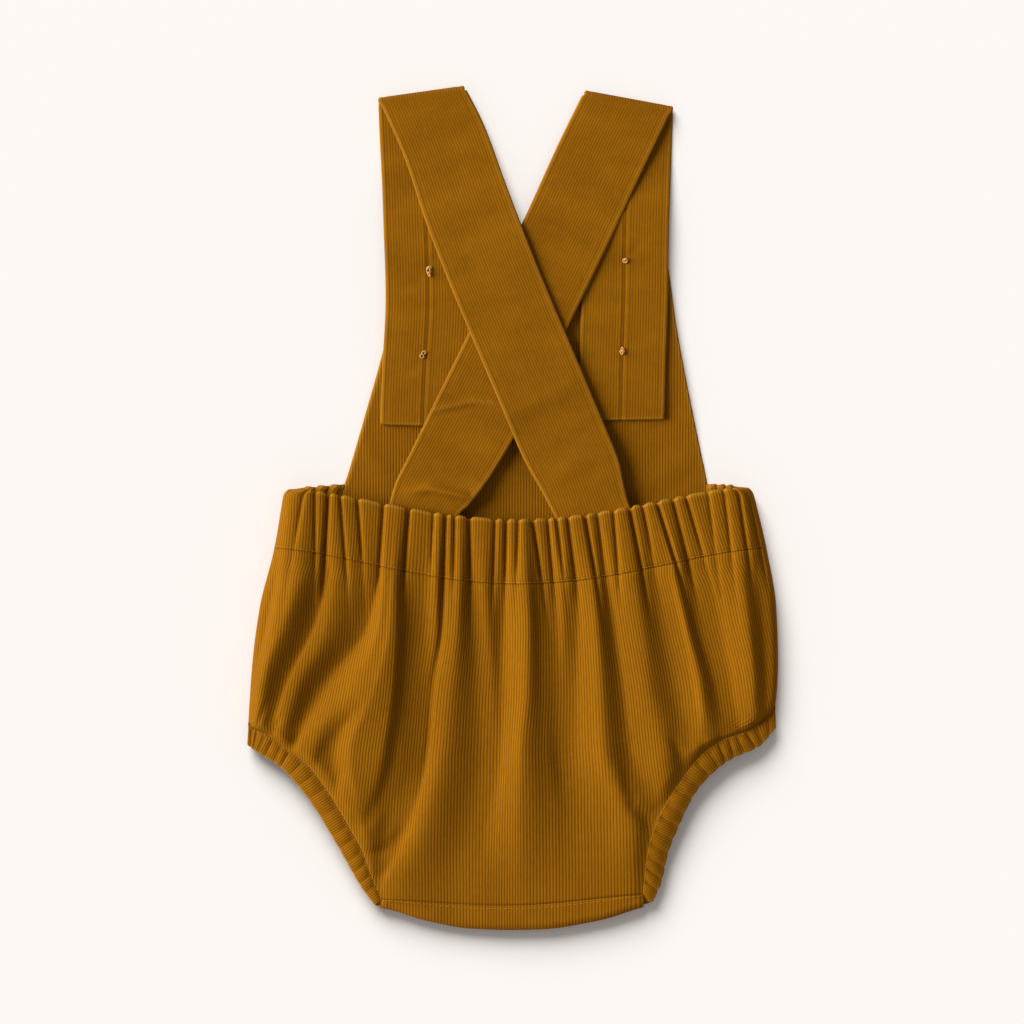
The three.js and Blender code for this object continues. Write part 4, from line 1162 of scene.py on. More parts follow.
def make_front_panel():
    top, uv = front_grid(panel_stations(50, FRONT_LEG_ROWS))
    piece = cloth("front_panel_cloth", top, PLY, uv, folded="lr", out=-1)
    finish_cloth(piece, "front_panel")
    return top


# %% [markdown]
# ### The crotch
# The back runs on below its stitch line, turns round the bottom edge and meets the front. The
# band uses the last row of the back panel, so its wales carry on.

# %% Make the crotch band
BAND_FLARE = 0.7  # how far its ends widen below the seam to meet the leg casings
BAND_RADIUS = 4.2
BAND_ROWS = dict(back=12, turn=17, front=10)


def make_crotch_band(back_edge, back_uv, front_edge):
    x, seam_y, height = back_edge.T
    front_y = np.interp(x, front_edge[:, 0], front_edge[:, 1])
    bottom = crotch_y(x)
    radius = np.minimum(height / 2, BAND_RADIUS)
    turn_y = bottom + radius
    rows = []
    for t in np.linspace(0, 1, BAND_ROWS["back"])[:-1]:
        drop = (height - 2 * radius) * (3 * t * t - 2 * t ** 3)
        rows.append(np.stack([x, seam_y + (turn_y - seam_y) * t, height - drop], axis=1))
    for angle in np.linspace(QUARTER, -QUARTER, BAND_ROWS["turn"]):
        y = turn_y - radius * math.cos(angle)
        rows.append(np.stack([x, y, radius * (1 + math.sin(angle))], axis=1))
    for t in np.linspace(0, 1, BAND_ROWS["front"])[1:]:
        rows.append(np.stack([x, turn_y + (front_y - turn_y) * t, np.zeros(len(x))], axis=1))
    top = np.array(rows)
    near_end = np.sign(x) * bell(np.minimum(x - x[0], x[-1] - x), 3)
    top[:, :, 0] += BAND_FLARE * near_end * np.linspace(0, 1, len(top))[:, None] ** 0.3
    run = np.cumsum(np.linalg.norm(np.diff(top, axis=0), axis=2).mean(axis=1))
    down = back_uv[:, 1][None, :] - np.concatenate([[0], run])[:, None]
    uv = np.stack(np.broadcast_arrays(back_uv[:, 0][None, :], down), axis=2)
    piece = cloth("crotch_band_cloth", top, PLY, uv)
    finish_cloth(piece, "crotch_band")
    return top


# %% [markdown]
# ### Front casings
# Beside the bib the front has two short lengths of waist casing. They show as a strip above the
# back casing, because the back hangs a little lower.

# %% Make the front casings
FRONT_GATHER = 1.6
TURN_SHARE = 0.3  # the share of its length that turns up at the side
BIB = table(
    "y left right z",
    (-22, -88.0, 99.6, 0.8),
    (6, -86.0, 98.4, 0.8),
    (16, -82.8, 96.9, 0.8),
    (28, -79.2, 94.4, 1.0),
    (50, -72.8, 89.8, 2.6),
    (68, -67.6, 86.2, 3.5),
    (94, -61.0, 81.6, 3.5),
    (114, -57.5, 79.0, 3.5),
    (136.8, -55.2, 75.6, 3.5),
)
bib_at = rows_through(BIB, BIB["y"])


def front_casing_grid(side, rows=30, columns=60):
    top, uv = [], []
    ends = ("lx", "ly", "left") if side < 0 else ("rx", "ry", "right")
    end_x, end_y, bib_side = ends
    corner = outline_row(0)[end_y]
    seam_line = {**outline_row(WAIST_SEAM), "dip": FRONT_DIP}
    for down in np.linspace(CASING / 2 / CASING_DEEP, 1, rows):
        inner_y = FRONT_TOP_Y + (FRONT_SEAM_Y - FRONT_TOP_Y) * down
        line = outline_row(down)
        end = line[end_x] - side * float(corner_inset(CASING_DEEP * down))
        reach = line["round"]
        inner = float(bib_at(inner_y)[bib_side]) + side * SEAM
        t = np.linspace(0, 1, columns)
        angle = np.clip(t / TURN_SHARE, 0, 1) * QUARTER
        turned = end - side * reach * (1 - np.cos(angle))
        start = end - side * reach
        flat = np.clip((t - TURN_SHARE) / (1 - TURN_SHARE), 0, 1)
        x = np.where(t < TURN_SHARE, turned, start + (inner - start) * flat)
        rim = line["rim"] - SEAM / 2
        gather = FRONT_GATHER * (0.5 - 0.5 * np.cos(6 * np.pi * flat)) * np.sin(np.pi * flat) ** 0.3
        z = rim * (1 - np.sin(angle)) + gather
        top_y = corner + (FRONT_TOP_Y - corner) * np.clip((x - end) / (inner - end), 0, 1)
        y = top_y + (line_y(seam_line, x) - top_y) * down
        points = np.stack([x, y, z], axis=1)
        top.append(points if side < 0 else points[::-1])
        length = cloth_length(top[-1])
        uv.append(np.stack([1.15 * length, -CASING_DEEP * np.full(columns, down)], axis=1))
    return np.array(top), np.array(uv)


def make_front_casing(side):
    top, uv = front_casing_grid(side)
    name = "front_casing_left" if side < 0 else "front_casing_right"
    piece = cloth(f"{name}_cloth", top, CASING, uv, folded="tlr", out=-1)
    finish_cloth(piece, name)


# %% [markdown]
# ### The bib
# The bib is two layers of cord, turned right side out and pressed, so its sides and top are
# folded edges. It lies on the table at the waist and on the buttons above.

# %% Make the bib
BIB_CREASES = creases(
    (-0.7, 5, (-76, 34), (-70, 24), (-62, 16)),
    (-0.8, 5, (-82, 8), (-70, 2), (-58, -4)),
    (-0.7, 6, (92, 30), (80, 18), (62, 12)),
    (-0.6, 5, (94, 10), (84, 4), (70, 2)),
    (-0.6, 6, (-30, 22), (-10, 18), (10, 14)),
    (0.4, 5, (84, 64), (80, 48), (70, 40)),
)


def bib_grid(rows=130, columns=110):
    stations = np.linspace(FRONT_SEAM_Y, BIB["y"][-1] - BIB_WALL / 2, rows)[::-1]
    t = np.linspace(0, 1, columns)
    waist = {**outline_row(WAIST_SEAM), "dip": FRONT_DIP}
    top, uv = [], []
    for y in stations:
        row = bib_at(y)
        left, right = row["left"] + BIB_WALL / 2, row["right"] - BIB_WALL / 2
        x = left + (right - left) * t
        near_seam = np.clip(1 - (y - FRONT_SEAM_Y) / 20, 0, 1)
        lower = line_y(waist, x) + SEAM / 2 - FRONT_SEAM_Y
        y_here = y + lower * near_seam
        z = row["z"] + BIB_WALL / 2 - creased(x, y_here, BIB_CREASES)
        top.append(np.stack([x, y_here, np.maximum(z, BIB_WALL)], axis=1))
        uv.append(np.stack([x, y_here], axis=1))
    return np.array(top), np.array(uv)


def make_bib():
    top, uv = bib_grid()
    piece = cloth("bib_cloth", top, BIB_WALL, uv, folded="tlr", inside=top - [0, 0, BIB_WALL])
    finish_cloth(piece, "bib")
    return piece


# %% [markdown]
# ### The straps
# A strap is a tube of cord with its seam in the middle of its inner side, pressed flat. The
# pressing leaves a rounded edge with a shallow groove beside it. A strap starts at its buttoned
# front end, climbs, rolls over at the shoulder and comes down the back, so its inner side, with
# the seam, shows on the front stretch.

# %% Set the straps
SHOULDER_ROLL = 1.6
LEFT_STRAP = table(
    "lx ly rx ry lz rz",
    (-66.2, 42.2, -22.8, 41.0, 4.2, 4.2),
    (-66.0, 50.0, -22.6, 50.0, 4.7, 4.7),
    (-65.2, 68.0, -21.8, 68.0, 5.5, 5.5),
    (-63.4, 104.8, -20.0, 104.8, 5.5, 5.5),
    (-64.4, 139.0, -21.0, 139.0, 5.5, 5.5),
    (-65.2, 160.0, -21.8, 160.0, 3.2, 3.2),
    (-66.4, 182.0, -23.0, 184.0, 1.1, 1.1),
    (-67.4, 205.2, -24.2, 211.3, 0.9, 0.9),
    (-54.2, 175.2, -14.4, 191.8, 4.9, 4.3),
    (-43.8, 143.8, -2.8, 160.2, 7.2, 6.8),
    (-32.4, 113.8, 8.6, 130.2, 8.7, 9.9),
    (-22.0, 88.8, 18.8, 105.2, 9.9, 9.9),
    (-6.8, 53.0, 34.0, 69.6, 9.8, 9.3),
    (6.2, 22.8, 46.8, 39.2, 8.5, 8.1),
    (14.8, 7.4, 53.2, 23.0, 8.4, 8.2),
    (22.2, -6.8, 57.0, 5.6, 8.2, 8.2),
    (27.6, -17.6, 61.6, -6.8, 8.2, 8.2),
)
RIGHT_STRAP = table(
    "lx ly rx ry lz rz",
    (32.8, 44.2, 76.0, 44.8, 4.4, 4.4),
    (33.0, 50.0, 76.2, 50.0, 4.7, 4.7),
    (33.2, 68.0, 76.6, 68.0, 5.5, 5.5),
    (34.4, 108.0, 77.8, 108.0, 5.5, 5.5),
    (34.8, 139.0, 78.2, 139.0, 5.5, 5.5),
    (35.6, 160.0, 79.0, 160.0, 3.2, 3.2),
    (36.2, 184.0, 79.8, 181.0, 1.1, 1.1),
    (36.2, 209.0, 80.6, 200.8, 0.9, 0.9),
    (23.8, 183.8, 63.6, 165.2, 4.3, 4.9),
    (5.2, 142.8, 44.4, 124.2, 6.9, 7.6),
    (-8.2, 115.2, 31.0, 96.6, 6.9, 7.6),
    (-21.4, 88.2, 17.8, 69.6, 7.6, 7.2),
    (-40.2, 49.8, -1.2, 31.2, 7.6, 7.1),
    (-50.6, 28.2, -13.0, 12.4, 7.6, 7.4),
    (-58.6, 11.8, -21.0, 1.8, 8.2, 8.2),
    (-61.2, 2.4, -26.6, -4.0, 8.2, 8.2),
    (-62.6, -7.2, -29.4, -13.2, 8.2, 8.2),
)
OVER = 7  # the row at the shoulder
LEFT_FRONT_WAVES = creases(
    (0.35, 2.4, (-41.8, 117), (-41.8, 121)),
    (0.35, 2.4, (-44.6, 74.4), (-44.6, 78.4)),
    (0.3, 1.6, (-41, 121), (-36, 128), (-33, 138)),
    (0.25, 2.2, (-43, 117), (-50, 111), (-57, 109)),
    (0.25, 2.4, (-44, 75), (-52, 68), (-62, 66)),
    (-0.3, 7, (-60, 88), (-50, 92), (-30, 90)),
    (-0.35, 8, (-62, 140), (-50, 146), (-34, 142)),
    (0.25, 6, (-60, 54), (-44, 58), (-28, 54)),
)
RIGHT_FRONT_WAVES = creases(
    (0.35, 2.4, (56.3, 121), (56.3, 125)),
    (0.35, 2.4, (54.8, 76), (54.8, 80)),
    (0.32, 2.0, (57, 124), (62, 130), (69, 134)),
    (0.25, 2.0, (57, 122), (64, 121), (72, 124)),
    (0.2, 2.0, (56, 79), (62, 83), (70, 84)),
    (-0.3, 8, (38, 96), (52, 100), (70, 98)),
    (-0.35, 8, (42, 146), (56, 152), (72, 148)),
    (0.25, 6, (36, 58), (54, 62), (72, 57)),
)
LEFT_WAVES = creases(
    (-0.5, 6, (-8, 40), (12, 52), (36, 60)),
    (0.4, 5, (8, 22), (24, 30), (46, 44)),
    (-0.5, 5, (14, 12), (30, 20), (50, 28)),
    (0.3, 8, (-30, 96), (-8, 108), (12, 118)),
    (0.35, 6, (-56, 178), (-36, 184), (-16, 186)),
    (-0.35, 9, (-40, 136), (-22, 144), (0, 152)),
)
RIGHT_WAVES = creases(
    (-0.85, 1.0, (-39.6, 48.8), (-38.8, 49.3), (-28.3, 51.3), (-19.8, 53), (-7.8, 52), (-5, 51)),
    (0.45, 1.2, (-38, 46.6), (-28, 48.6), (-20, 50.4), (-8, 49.4)),
    (-2.4, 2.4, (-52, 8.0), (-41, 9.4), (-30, 7.0), (-20, 4.6), (-14.5, 8.5)),
    (0.8, 4.5, (-54, 16), (-40, 17), (-28, 14), (-18, 14)),
    (0.7, 7, (-44, 36), (-26, 30), (-10, 28)),
    (0.35, 8, (10, 150), (28, 140), (44, 136)),
    (0.35, 5, (30, 184), (50, 178), (66, 172)),
    (-0.3, 8, (-2, 122), (16, 112), (32, 104)),
)
TUCK = RIGHT_WAVES[0]["path"]  # the ridge of this one gets a painted highlight
print("strap rows:", len(LEFT_STRAP["lx"]), len(RIGHT_STRAP["lx"]))

# %% Make the straps
STRAP_COLUMNS = 41
ROLL_ROWS = 4  # rows on each side of the shoulder that give way to the roll
EDGE_RIDGE = dict(at=0.6, height=0.05, width=0.6)
EDGE_GROOVE = dict(at=2.0, depth=0.15, width=0.7)
STRAP_SEAM = dict(depth=0.55, width=0.45, lips=0.18, lips_at=1.6)


def strap_lines(rows):
    """The strap's middle surface and its outward direction, row by row from the front end."""
    def part(first, last, count, lift):
        columns = {name: values[first:last + 1].copy() for name, values in rows.items()}
        if lift:
            columns["lz"][0] += 2 * SHOULDER_ROLL
            columns["rz"][0] += 2 * SHOULDER_ROLL
        at = rows_through(columns)
        return [at(k) for k in np.linspace(0, last - first, count)]

    t = np.linspace(0, 1, STRAP_COLUMNS)[:, None]
    last_row = len(rows["lx"]) - 1

    def line(row):
        left = np.array([row["lx"], row["ly"], row["lz"]], float)
        right = np.array([row["rx"], row["ry"], row["rz"]], float)
        return left + (right - left) * t

    over = {name: values[OVER] for name, values in rows.items()}
    away = unit(np.array([over["ly"] - over["ry"], over["rx"] - over["lx"], 0.0]))
    inset = -(SHOULDER_ROLL + STRAP_WALL / 2)
    down, up = np.array([0, 0, -1.0]), np.array([0, 0, 1.0])
    points, outs = [], []
    for row in part(0, OVER, 140, False)[:-ROLL_ROWS]:
        points.append(line(row))
        outs.append(down)
    for angle in np.linspace(-QUARTER, QUARTER, 13):
        shift = away * (inset + SHOULDER_ROLL * math.cos(angle))
        shift = shift + up * SHOULDER_ROLL * (1 + math.sin(angle))
        points.append(line(over) + shift)
        outs.append(away * math.cos(angle) + up * math.sin(angle))
    for row in part(OVER, last_row, 260, True)[ROLL_ROWS:]:
        points.append(line(row))
        outs.append(up)
    return np.array(points), np.array(outs)[:, None, :] * np.ones((1, STRAP_COLUMNS, 1))


def paint_highlight_along(piece, x, y, path, width=0.8):
    """Paint a highlight along a path on the outside of a piece made from a grid."""
    gap, along = near_path(x.ravel(), y.ravel(), path)
    layer = piece.data.attributes["wear_and_highlight"].data
    wear_and_highlight = np.empty(len(layer))
    layer.foreach_get("value", wear_and_highlight)
    pale = bell(gap, width) * np.sin(np.pi * np.clip(along * 0.9 + 0.05, 0, 1)) ** 0.5
    wear_and_highlight[:pale.size] = np.maximum(wear_and_highlight[:pale.size], pale)
    layer.foreach_set("value", wear_and_highlight)


def make_strap(name, rows, waves, front_waves):
    middle, out = strap_lines(rows)
    width = np.linalg.norm(middle[:, -1] - middle[:, 0], axis=1)[:, None]
    t = np.linspace(0, 1, STRAP_COLUMNS)[None, :]
    to_edge = np.minimum(t, 1 - t) * width
    to_seam = np.abs(t - 0.5) * width
    ridge = EDGE_RIDGE["height"] * bell(to_edge - EDGE_RIDGE["at"], EDGE_RIDGE["width"])
    groove = EDGE_GROOVE["depth"] * bell(to_edge - EDGE_GROOVE["at"], EDGE_GROOVE["width"])
    half = STRAP_WALL / 2 + ridge - groove
    seam = STRAP_SEAM["depth"] * bell(to_seam, STRAP_SEAM["width"])
    lips = STRAP_SEAM["lips"] * bell(to_seam - STRAP_SEAM["lips_at"], 1.0)
    back_stretch = (out[:, :, 2] > 0.99).astype(float)
    front_stretch = (out[:, :, 2] < -0.99).astype(float)
    x, y = middle[:, :, 0].copy(), middle[:, :, 1].copy()
    middle[:, :, 2] -= creased(x, y, waves) * back_stretch + creased(x, y, front_waves) * front_stretch
    outside = middle + out * half[:, :, None]
    inside = middle - out * (half - seam + lips)[:, :, None]
    sideways = unit(middle[:, -1] - middle[:, 0])[:, None, :]
    tuck = STRAP_WALL / 2 * (1 - 2 * t)[:, :, None]
    outside = outside + sideways * tuck
    inside = inside + sideways * tuck
    run = cloth_length(middle[:, STRAP_COLUMNS // 2])
    uv = np.stack(np.broadcast_arrays((t - 0.5) * width, run[:, None]), axis=2)
    piece = cloth(f"{name}_cloth", outside, STRAP_WALL, uv, folded="tblr", inside=inside)
    finish_cloth(piece, name, material=BRUSHED)
    # The tuck ridge of the right strap gets a painted highlight.
    if waves is RIGHT_WAVES:
        paint_highlight_along(piece, x, y, TUCK)
    print(f"{name}: {run[-1]:.0f} mm long")
    return piece


# %% [markdown]
# ## Thread
# Sewing thread is two or three fine strands twisted together. At this size the twist shows as
# slanting light and shade, and a wave across the object paints them into the colour. The seams
# are sewn in a golden thread close to the cloth, and the buttons in a paler tan one.

# %% Make the threads' finishes
def thread_finish(name, light, dark, twist):
    material = bpy.data.materials.new(name)
    n = Nodes(material)
    place = n.add("ShaderNodeTexCoord").outputs["Object"]
    wave = n.add("ShaderNodeTexWave")
    wave.inputs["Scale"].default_value = twist
    wave.inputs["Distortion"].default_value = 1.5
    n.join(place, wave.inputs["Vector"])
    fuzz = n.noise(place, 5000, 2.0)
    # painted light and shade of the twist
    share = n.plus(n.times(wave.outputs["Fac"], 0.6), n.times(fuzz, 0.4))
    n.join(n.mix(share, dark, light), n.shader.inputs["Base Color"])
    n.bump(share, 0.5, 0.0001)
    n.shader.inputs["Roughness"].default_value = 0.7
    n.shader.inputs["Specular IOR Level"].default_value = 0.06
    return material


TAN_THREAD = thread_finish("tan button thread", (0.62, 0.33, 0.12, 1), (0.36, 0.17, 0.05, 1), 700)
GOLD_THREAD = thread_finish("golden seam thread", (0.42, 0.19, 0.022, 1), (0.27, 0.105, 0.010, 1), 700)
print("threads:", TAN_THREAD.name, "and", GOLD_THREAD.name)

# %% [markdown]
# ## Stitches
# A stitch is a short length of thread that comes up through the cloth, lies on it and goes down
# again. One small Geometry Nodes tree makes it as an arched tube and sets it along any line, so
# all the seams share it. A line carries an `up` attribute, which tells each stitch which way is
# out of the cloth. Turned a quarter, the same stitch makes the edge of a buttonhole.

# %% Make the stitch tree
def stitch_tree():
    tree = bpy.data.node_groups.new("stitches along a line", "GeometryNodeTree")
    sockets = tree.interface
    sockets.new_socket(name="Geometry", in_out="INPUT", socket_type="NodeSocketGeometry")
    for name, value in (("Pitch", 0.003), ("Length", 0.0024), ("Thickness", 0.0002),
                        ("Arch", 0.0004), ("Turn", 0.0), ("Wobble", 0.1)):
        socket = sockets.new_socket(name=name, in_out="INPUT", socket_type="NodeSocketFloat")
        socket.default_value = value
    sockets.new_socket(name="Seed", in_out="INPUT", socket_type="NodeSocketInt").default_value = 7
    sockets.new_socket(name="Thread", in_out="INPUT", socket_type="NodeSocketMaterial")
    sockets.new_socket(name="Geometry", in_out="OUTPUT", socket_type="NodeSocketGeometry")
    given = tree.nodes.new("NodeGroupInput").outputs

    def node(kind, *links, **settings):
        made = tree.nodes.new(kind)
        for name, value in settings.items():
            setattr(made, name, value)
        for source, socket in links:
            tree.links.new(source, made.inputs[socket])
        return made

    def times(source, factor):
        made = node("ShaderNodeMath", (source, 0), operation="MULTIPLY")
        made.inputs[1].default_value = factor
        return made.outputs[0]

    line = node("GeometryNodeMeshToCurve", (given["Geometry"], "Mesh"))
    spaced = node("GeometryNodeResampleCurve", (line.outputs[0], "Curve"),
                  (given["Pitch"], "Length"), mode="LENGTH")
    half = times(given["Length"], 0.5)
    start = node("ShaderNodeCombineXYZ", (times(half, -1), "X"))
    top = node("ShaderNodeCombineXYZ", (given["Arch"], "Z"))
    end = node("ShaderNodeCombineXYZ", (half, "X"))
    arch = node("GeometryNodeCurveQuadraticBezier", (start.outputs[0], "Start"),
                (top.outputs[0], "Middle"), (end.outputs[0], "End"))
    arch.inputs["Resolution"].default_value = 6
    ring = node("GeometryNodeCurvePrimitiveCircle", (given["Thickness"], "Radius"))
    ring.inputs["Resolution"].default_value = 7
    thread = node("GeometryNodeCurveToMesh", (arch.outputs[0], "Curve"), (ring.outputs[0], "Profile Curve"))
    thread.inputs["Fill Caps"].default_value = True
    smooth = node("GeometryNodeSetShadeSmooth", (thread.outputs[0], "Geometry"))
    tangent = node("GeometryNodeInputTangent")
    up = node("GeometryNodeInputNamedAttribute", data_type="FLOAT_VECTOR")
    up.inputs["Name"].default_value = "up"
    along = node("FunctionNodeAlignRotationToVector", (tangent.outputs[0], "Vector"), axis="X")
    upright = node("FunctionNodeAlignRotationToVector", (along.outputs[0], "Rotation"),
                   (up.outputs["Attribute"], "Vector"), axis="Z", pivot_axis="X")
    sway = node("FunctionNodeRandomValue", (times(given["Wobble"], -1), 2), (given["Wobble"], 3),
                (given["Seed"], "Seed"), data_type="FLOAT")
    turn = node("ShaderNodeMath", (given["Turn"], 0), (sway.outputs[1], 1), operation="ADD")
    angles = node("ShaderNodeCombineXYZ", (turn.outputs[0], "Z"))
    swing = node("FunctionNodeEulerToRotation", (angles.outputs[0], 0))
    turned = node("FunctionNodeRotateRotation", (upright.outputs[0], "Rotation"),
                  (swing.outputs[0], "Rotate By"), rotation_space="LOCAL")
    placed = node("GeometryNodeInstanceOnPoints", (spaced.outputs[0], "Points"),
                  (smooth.outputs[0], "Instance"), (turned.outputs[0], "Rotation"))
    real = node("GeometryNodeRealizeInstances", (placed.outputs[0], "Geometry"))
    dressed = node("GeometryNodeSetMaterial", (real.outputs[0], "Geometry"), (given["Thread"], "Material"))
    node("NodeGroupOutput", (dressed.outputs[0], "Geometry"))
    return tree


STITCHES = stitch_tree()
SOCKET = {item.name: item.identifier for item in STITCHES.interface.items_tree if item.in_out == "INPUT"}
print("inputs:", ", ".join(SOCKET))


def plain_mesh(piece):
    """Turn a piece and its modifiers into a plain mesh."""
    seen = piece.evaluated_get(bpy.context.evaluated_depsgraph_get())
    made = bpy.data.meshes.new_from_object(seen)
    piece.modifiers.clear()
    piece.data = made
    return piece


def sew(name, lines, up, thread, **sizes):
    """Stitches along lines of points, in millimetres. up has a direction for each point."""
    mesh = bpy.data.meshes.new(name)
    edges, count = [], 0
    for line in lines:
        edges += [(count + i, count + i + 1) for i in range(len(line) - 1)]
        count += len(line)
    mesh.from_pydata((np.concatenate(lines) * MM).tolist(), edges, [])
    mesh.attributes.new("up", "FLOAT_VECTOR", "POINT").data.foreach_set("vector", np.concatenate(up).ravel())
    mesh.materials.append(thread)
    piece = add_object(name, mesh)
    tree = piece.modifiers.new("stitches", "NODES")
    tree.node_group = STITCHES
    tree[SOCKET["Thread"]] = thread
    tree[SOCKET["Seed"]] = 7
    for size, value in sizes.items():
        tree[SOCKET[size.capitalize()]] = value
    plain_mesh(piece)
    settle(piece, "thread")
    print(f"{name}: {len(piece.data.polygons)} faces")
    return piece


# %% [markdown]
# The waist, the leg casings and the crotch are each sewn in one straight row, just beside the
# joint. Each row follows a line of the cloth grid, so the stitches ride over the pleats.

# %% Sew the seams
SEAM_STITCH = dict(
    pitch=2.9 * MM, length=2.2 * MM, thickness=0.14 * MM, arch=0.36 * MM, turn=0.0, wobble=0.12,
)
BURIED = 0.08


def along_row(grid, row, out=1, trim=3):
    """A line along one row of a grid, sunk a little into the cloth, with its up directions."""
    normals = grid_normals(grid)[row] * out
    return (grid[row] - BURIED * normals)[trim:-trim], normals[trim:-trim]


def sew_seams():
    line, up = along_row(casing_top, -2)
    sew("waist_stitches", [line], [up], GOLD_THREAD, **SEAM_STITCH)
    line, up = along_row(crotch_top, 2, trim=6)
    sew("crotch_stitches", [line], [up], GOLD_THREAD, **SEAM_STITCH)
    for side, word in ((-1, "left"), (1, "right")):
        grid = leg_casings[side, "back"].transpose(1, 0, 2)
        line, up = along_row(grid, 1, out=side)
        sew(f"leg_stitches_{word}", [line], [up], GOLD_THREAD, **SEAM_STITCH)


# %% [markdown]
# ## Buttons
# The four buttons are turned discs with a raised ring, a dished middle and four holes. They lie
# on the table under the bib. The profile is spun round, and the holes are cut with a boolean.

# %% Make the buttons
BUTTONS = {
    "left_upper": (-41.8, 119.0),
    "left_lower": (-44.6, 76.4),
    "right_upper": (56.3, 123.2),
    "right_lower": (54.8, 78.2),
}
HOLE_STEP = 1.5
BUTTON_HOLE = 0.9
BUTTON_PROFILE = table(
    "radius z",
    (0, 0.9), (3.3, 0.9), (3.9, 0.75), (4.4, 0.25), (4.8, 0.04), (5.4, 0), (5.9, 0.06), (6.3, 0.35),
    (6.48, 0.9), (6.48, 1.5), (6.3, 2.05), (5.95, 2.34), (5.4, 2.4), (4.8, 2.4), (4.3, 2.3),
    (3.9, 2.05), (3.5, 1.76), (3.1, 1.7), (0, 1.7),
)
BUTTON_SIDES = 64
HORN_DARK, HORN_LIGHT = (0.085, 0.030, 0.008, 1), (0.40, 0.19, 0.06, 1)


def horn():
    """Horn-coloured resin: brown with paler streaks, under a satin polish."""
    material = bpy.data.materials.new("horn-coloured resin")
    n = Nodes(material)
    place = n.add("ShaderNodeTexCoord").outputs["Object"]
    streaks = n.noise(place, 160, 4.0, (1, 0.25, 1))
    specks = n.noise(place, 1400, 2.0)
    share = n.plus(n.times(streaks, 0.85), n.times(specks, 0.15))
    share = n.math("MAXIMUM", n.times(n.math("SUBTRACT", share, 0.34), 3.2), 0)
    share = n.math("SMOOTH_MIN", share, 1, 0.1)
    n.join(n.mix(share, HORN_DARK, HORN_LIGHT), n.shader.inputs["Base Color"])
    n.join(n.plus(n.times(specks, 0.18), 0.26), n.shader.inputs["Roughness"])
    n.bump(streaks, 0.12, 0.0001)
    return material


HORN = horn()


def smooth_mesh(name, points, faces):
    """A smooth mesh in metres from points in millimetres."""
    mesh = bpy.data.meshes.new(name)
    mesh.from_pydata((np.asarray(points, float) * MM).tolist(), [], faces)
    mesh.polygons.foreach_set("use_smooth", np.ones(len(mesh.polygons), bool))
    return mesh


def turned(name, profile, x, y, sides):
    """A shape spun from a profile of radii and heights, closed at the axis."""
    rings = list(zip(profile["radius"], profile["z"]))
    angles = np.linspace(0, 2 * math.pi, sides, endpoint=False)
    points = [(x, y, rings[0][1])]
    for radius, z in rings[1:-1]:
        points += [(x + radius * math.cos(a), y + radius * math.sin(a), z) for a in angles]
    points.append((x, y, rings[-1][1]))
    faces = []
    for i in range(sides):
        j = (i + 1) % sides
        faces.append((0, 1 + j, 1 + i))
        for ring in range(len(rings) - 3):
            low = 1 + ring * sides
            faces.append((low + i, low + j, low + sides + j, low + sides + i))
        last = len(points) - 1
        faces.append((last - sides + i, last - sides + j, last))
    return add_object(name, smooth_mesh(name, points, faces))


def rods(places, radius, low, high, sides=20):
    """Upright rods in one mesh, used to cut holes."""
    body = bmesh.new()
    for x, y in places:
        at = Matrix.Translation((x * MM, y * MM, (low + high) / 2 * MM))
        bmesh.ops.create_cone(body, cap_ends=True, segments=sides, radius1=radius * MM,
                              radius2=radius * MM, depth=(high - low) * MM, matrix=at)
    mesh = bpy.data.meshes.new("cutter")
    body.to_mesh(mesh)
    body.free()
    return mesh


def cut(piece, cutter_mesh):
    """Cut one mesh out of a piece and keep the piece plain."""
    cutter = add_object("cutter", cutter_mesh)
    boolean = piece.modifiers.new("holes", "BOOLEAN")
    boolean.object = cutter
    boolean.solver = "EXACT"
    plain_mesh(piece)
    bpy.data.objects.remove(cutter)
    return piece


def make_button(name, x, y):
    piece = turned(f"button_{name}_horn", BUTTON_PROFILE, x, y, BUTTON_SIDES)
    holes = [(x + i * HOLE_STEP, y + j * HOLE_STEP) for i in (-1, 1) for j in (-1, 1)]
    cut(piece, rods(holes, BUTTON_HOLE, -1, 4))
    piece.data.materials.clear()
    piece.data.materials.append(HORN)
    settle(piece, "button", f"button_{name}")
    check_closed(piece)
    return holes


# %% [markdown]
# ## Button threads
# Each button is sewn on through its strap: two bars of thread on its face, four strands up
# through its holes, a wound shank through the buttonhole, and a small knot on the strap's other
# side. The knots are what shows from above, and no two are alike.

# %% Make the button threads
STRAP_TOP = 6.4
KNOTS = {  # loops of each knot: place from the shank, half width, half height, turn in degrees
    "left_upper": ((0.1, 0.5, 1.15, 0.75, 20), (-0.1, -0.9, 0.8, 1.5, 0), (0.2, -2.6, 0.45, 1.0, 15)),
    "left_lower": ((0.3, 0.8, 1.1, 0.7, 35), (-0.6, -0.9, 0.9, 0.9, 70)),
    "right_upper": ((0, 0, 1.1, 1.05, 0), (0.2, 0.1, 0.55, 0.6, 40)),
    "right_lower": ((0.1, 0.5, 0.6, 1.2, 10), (0, -0.4, 1.1, 0.75, 0), (-0.1, -0.9, 0.5, 0.9, -15)),
}
STRAND, BAR, SHANK = 0.33, 0.42, 0.6  # how thick each kind of strand is, by radius


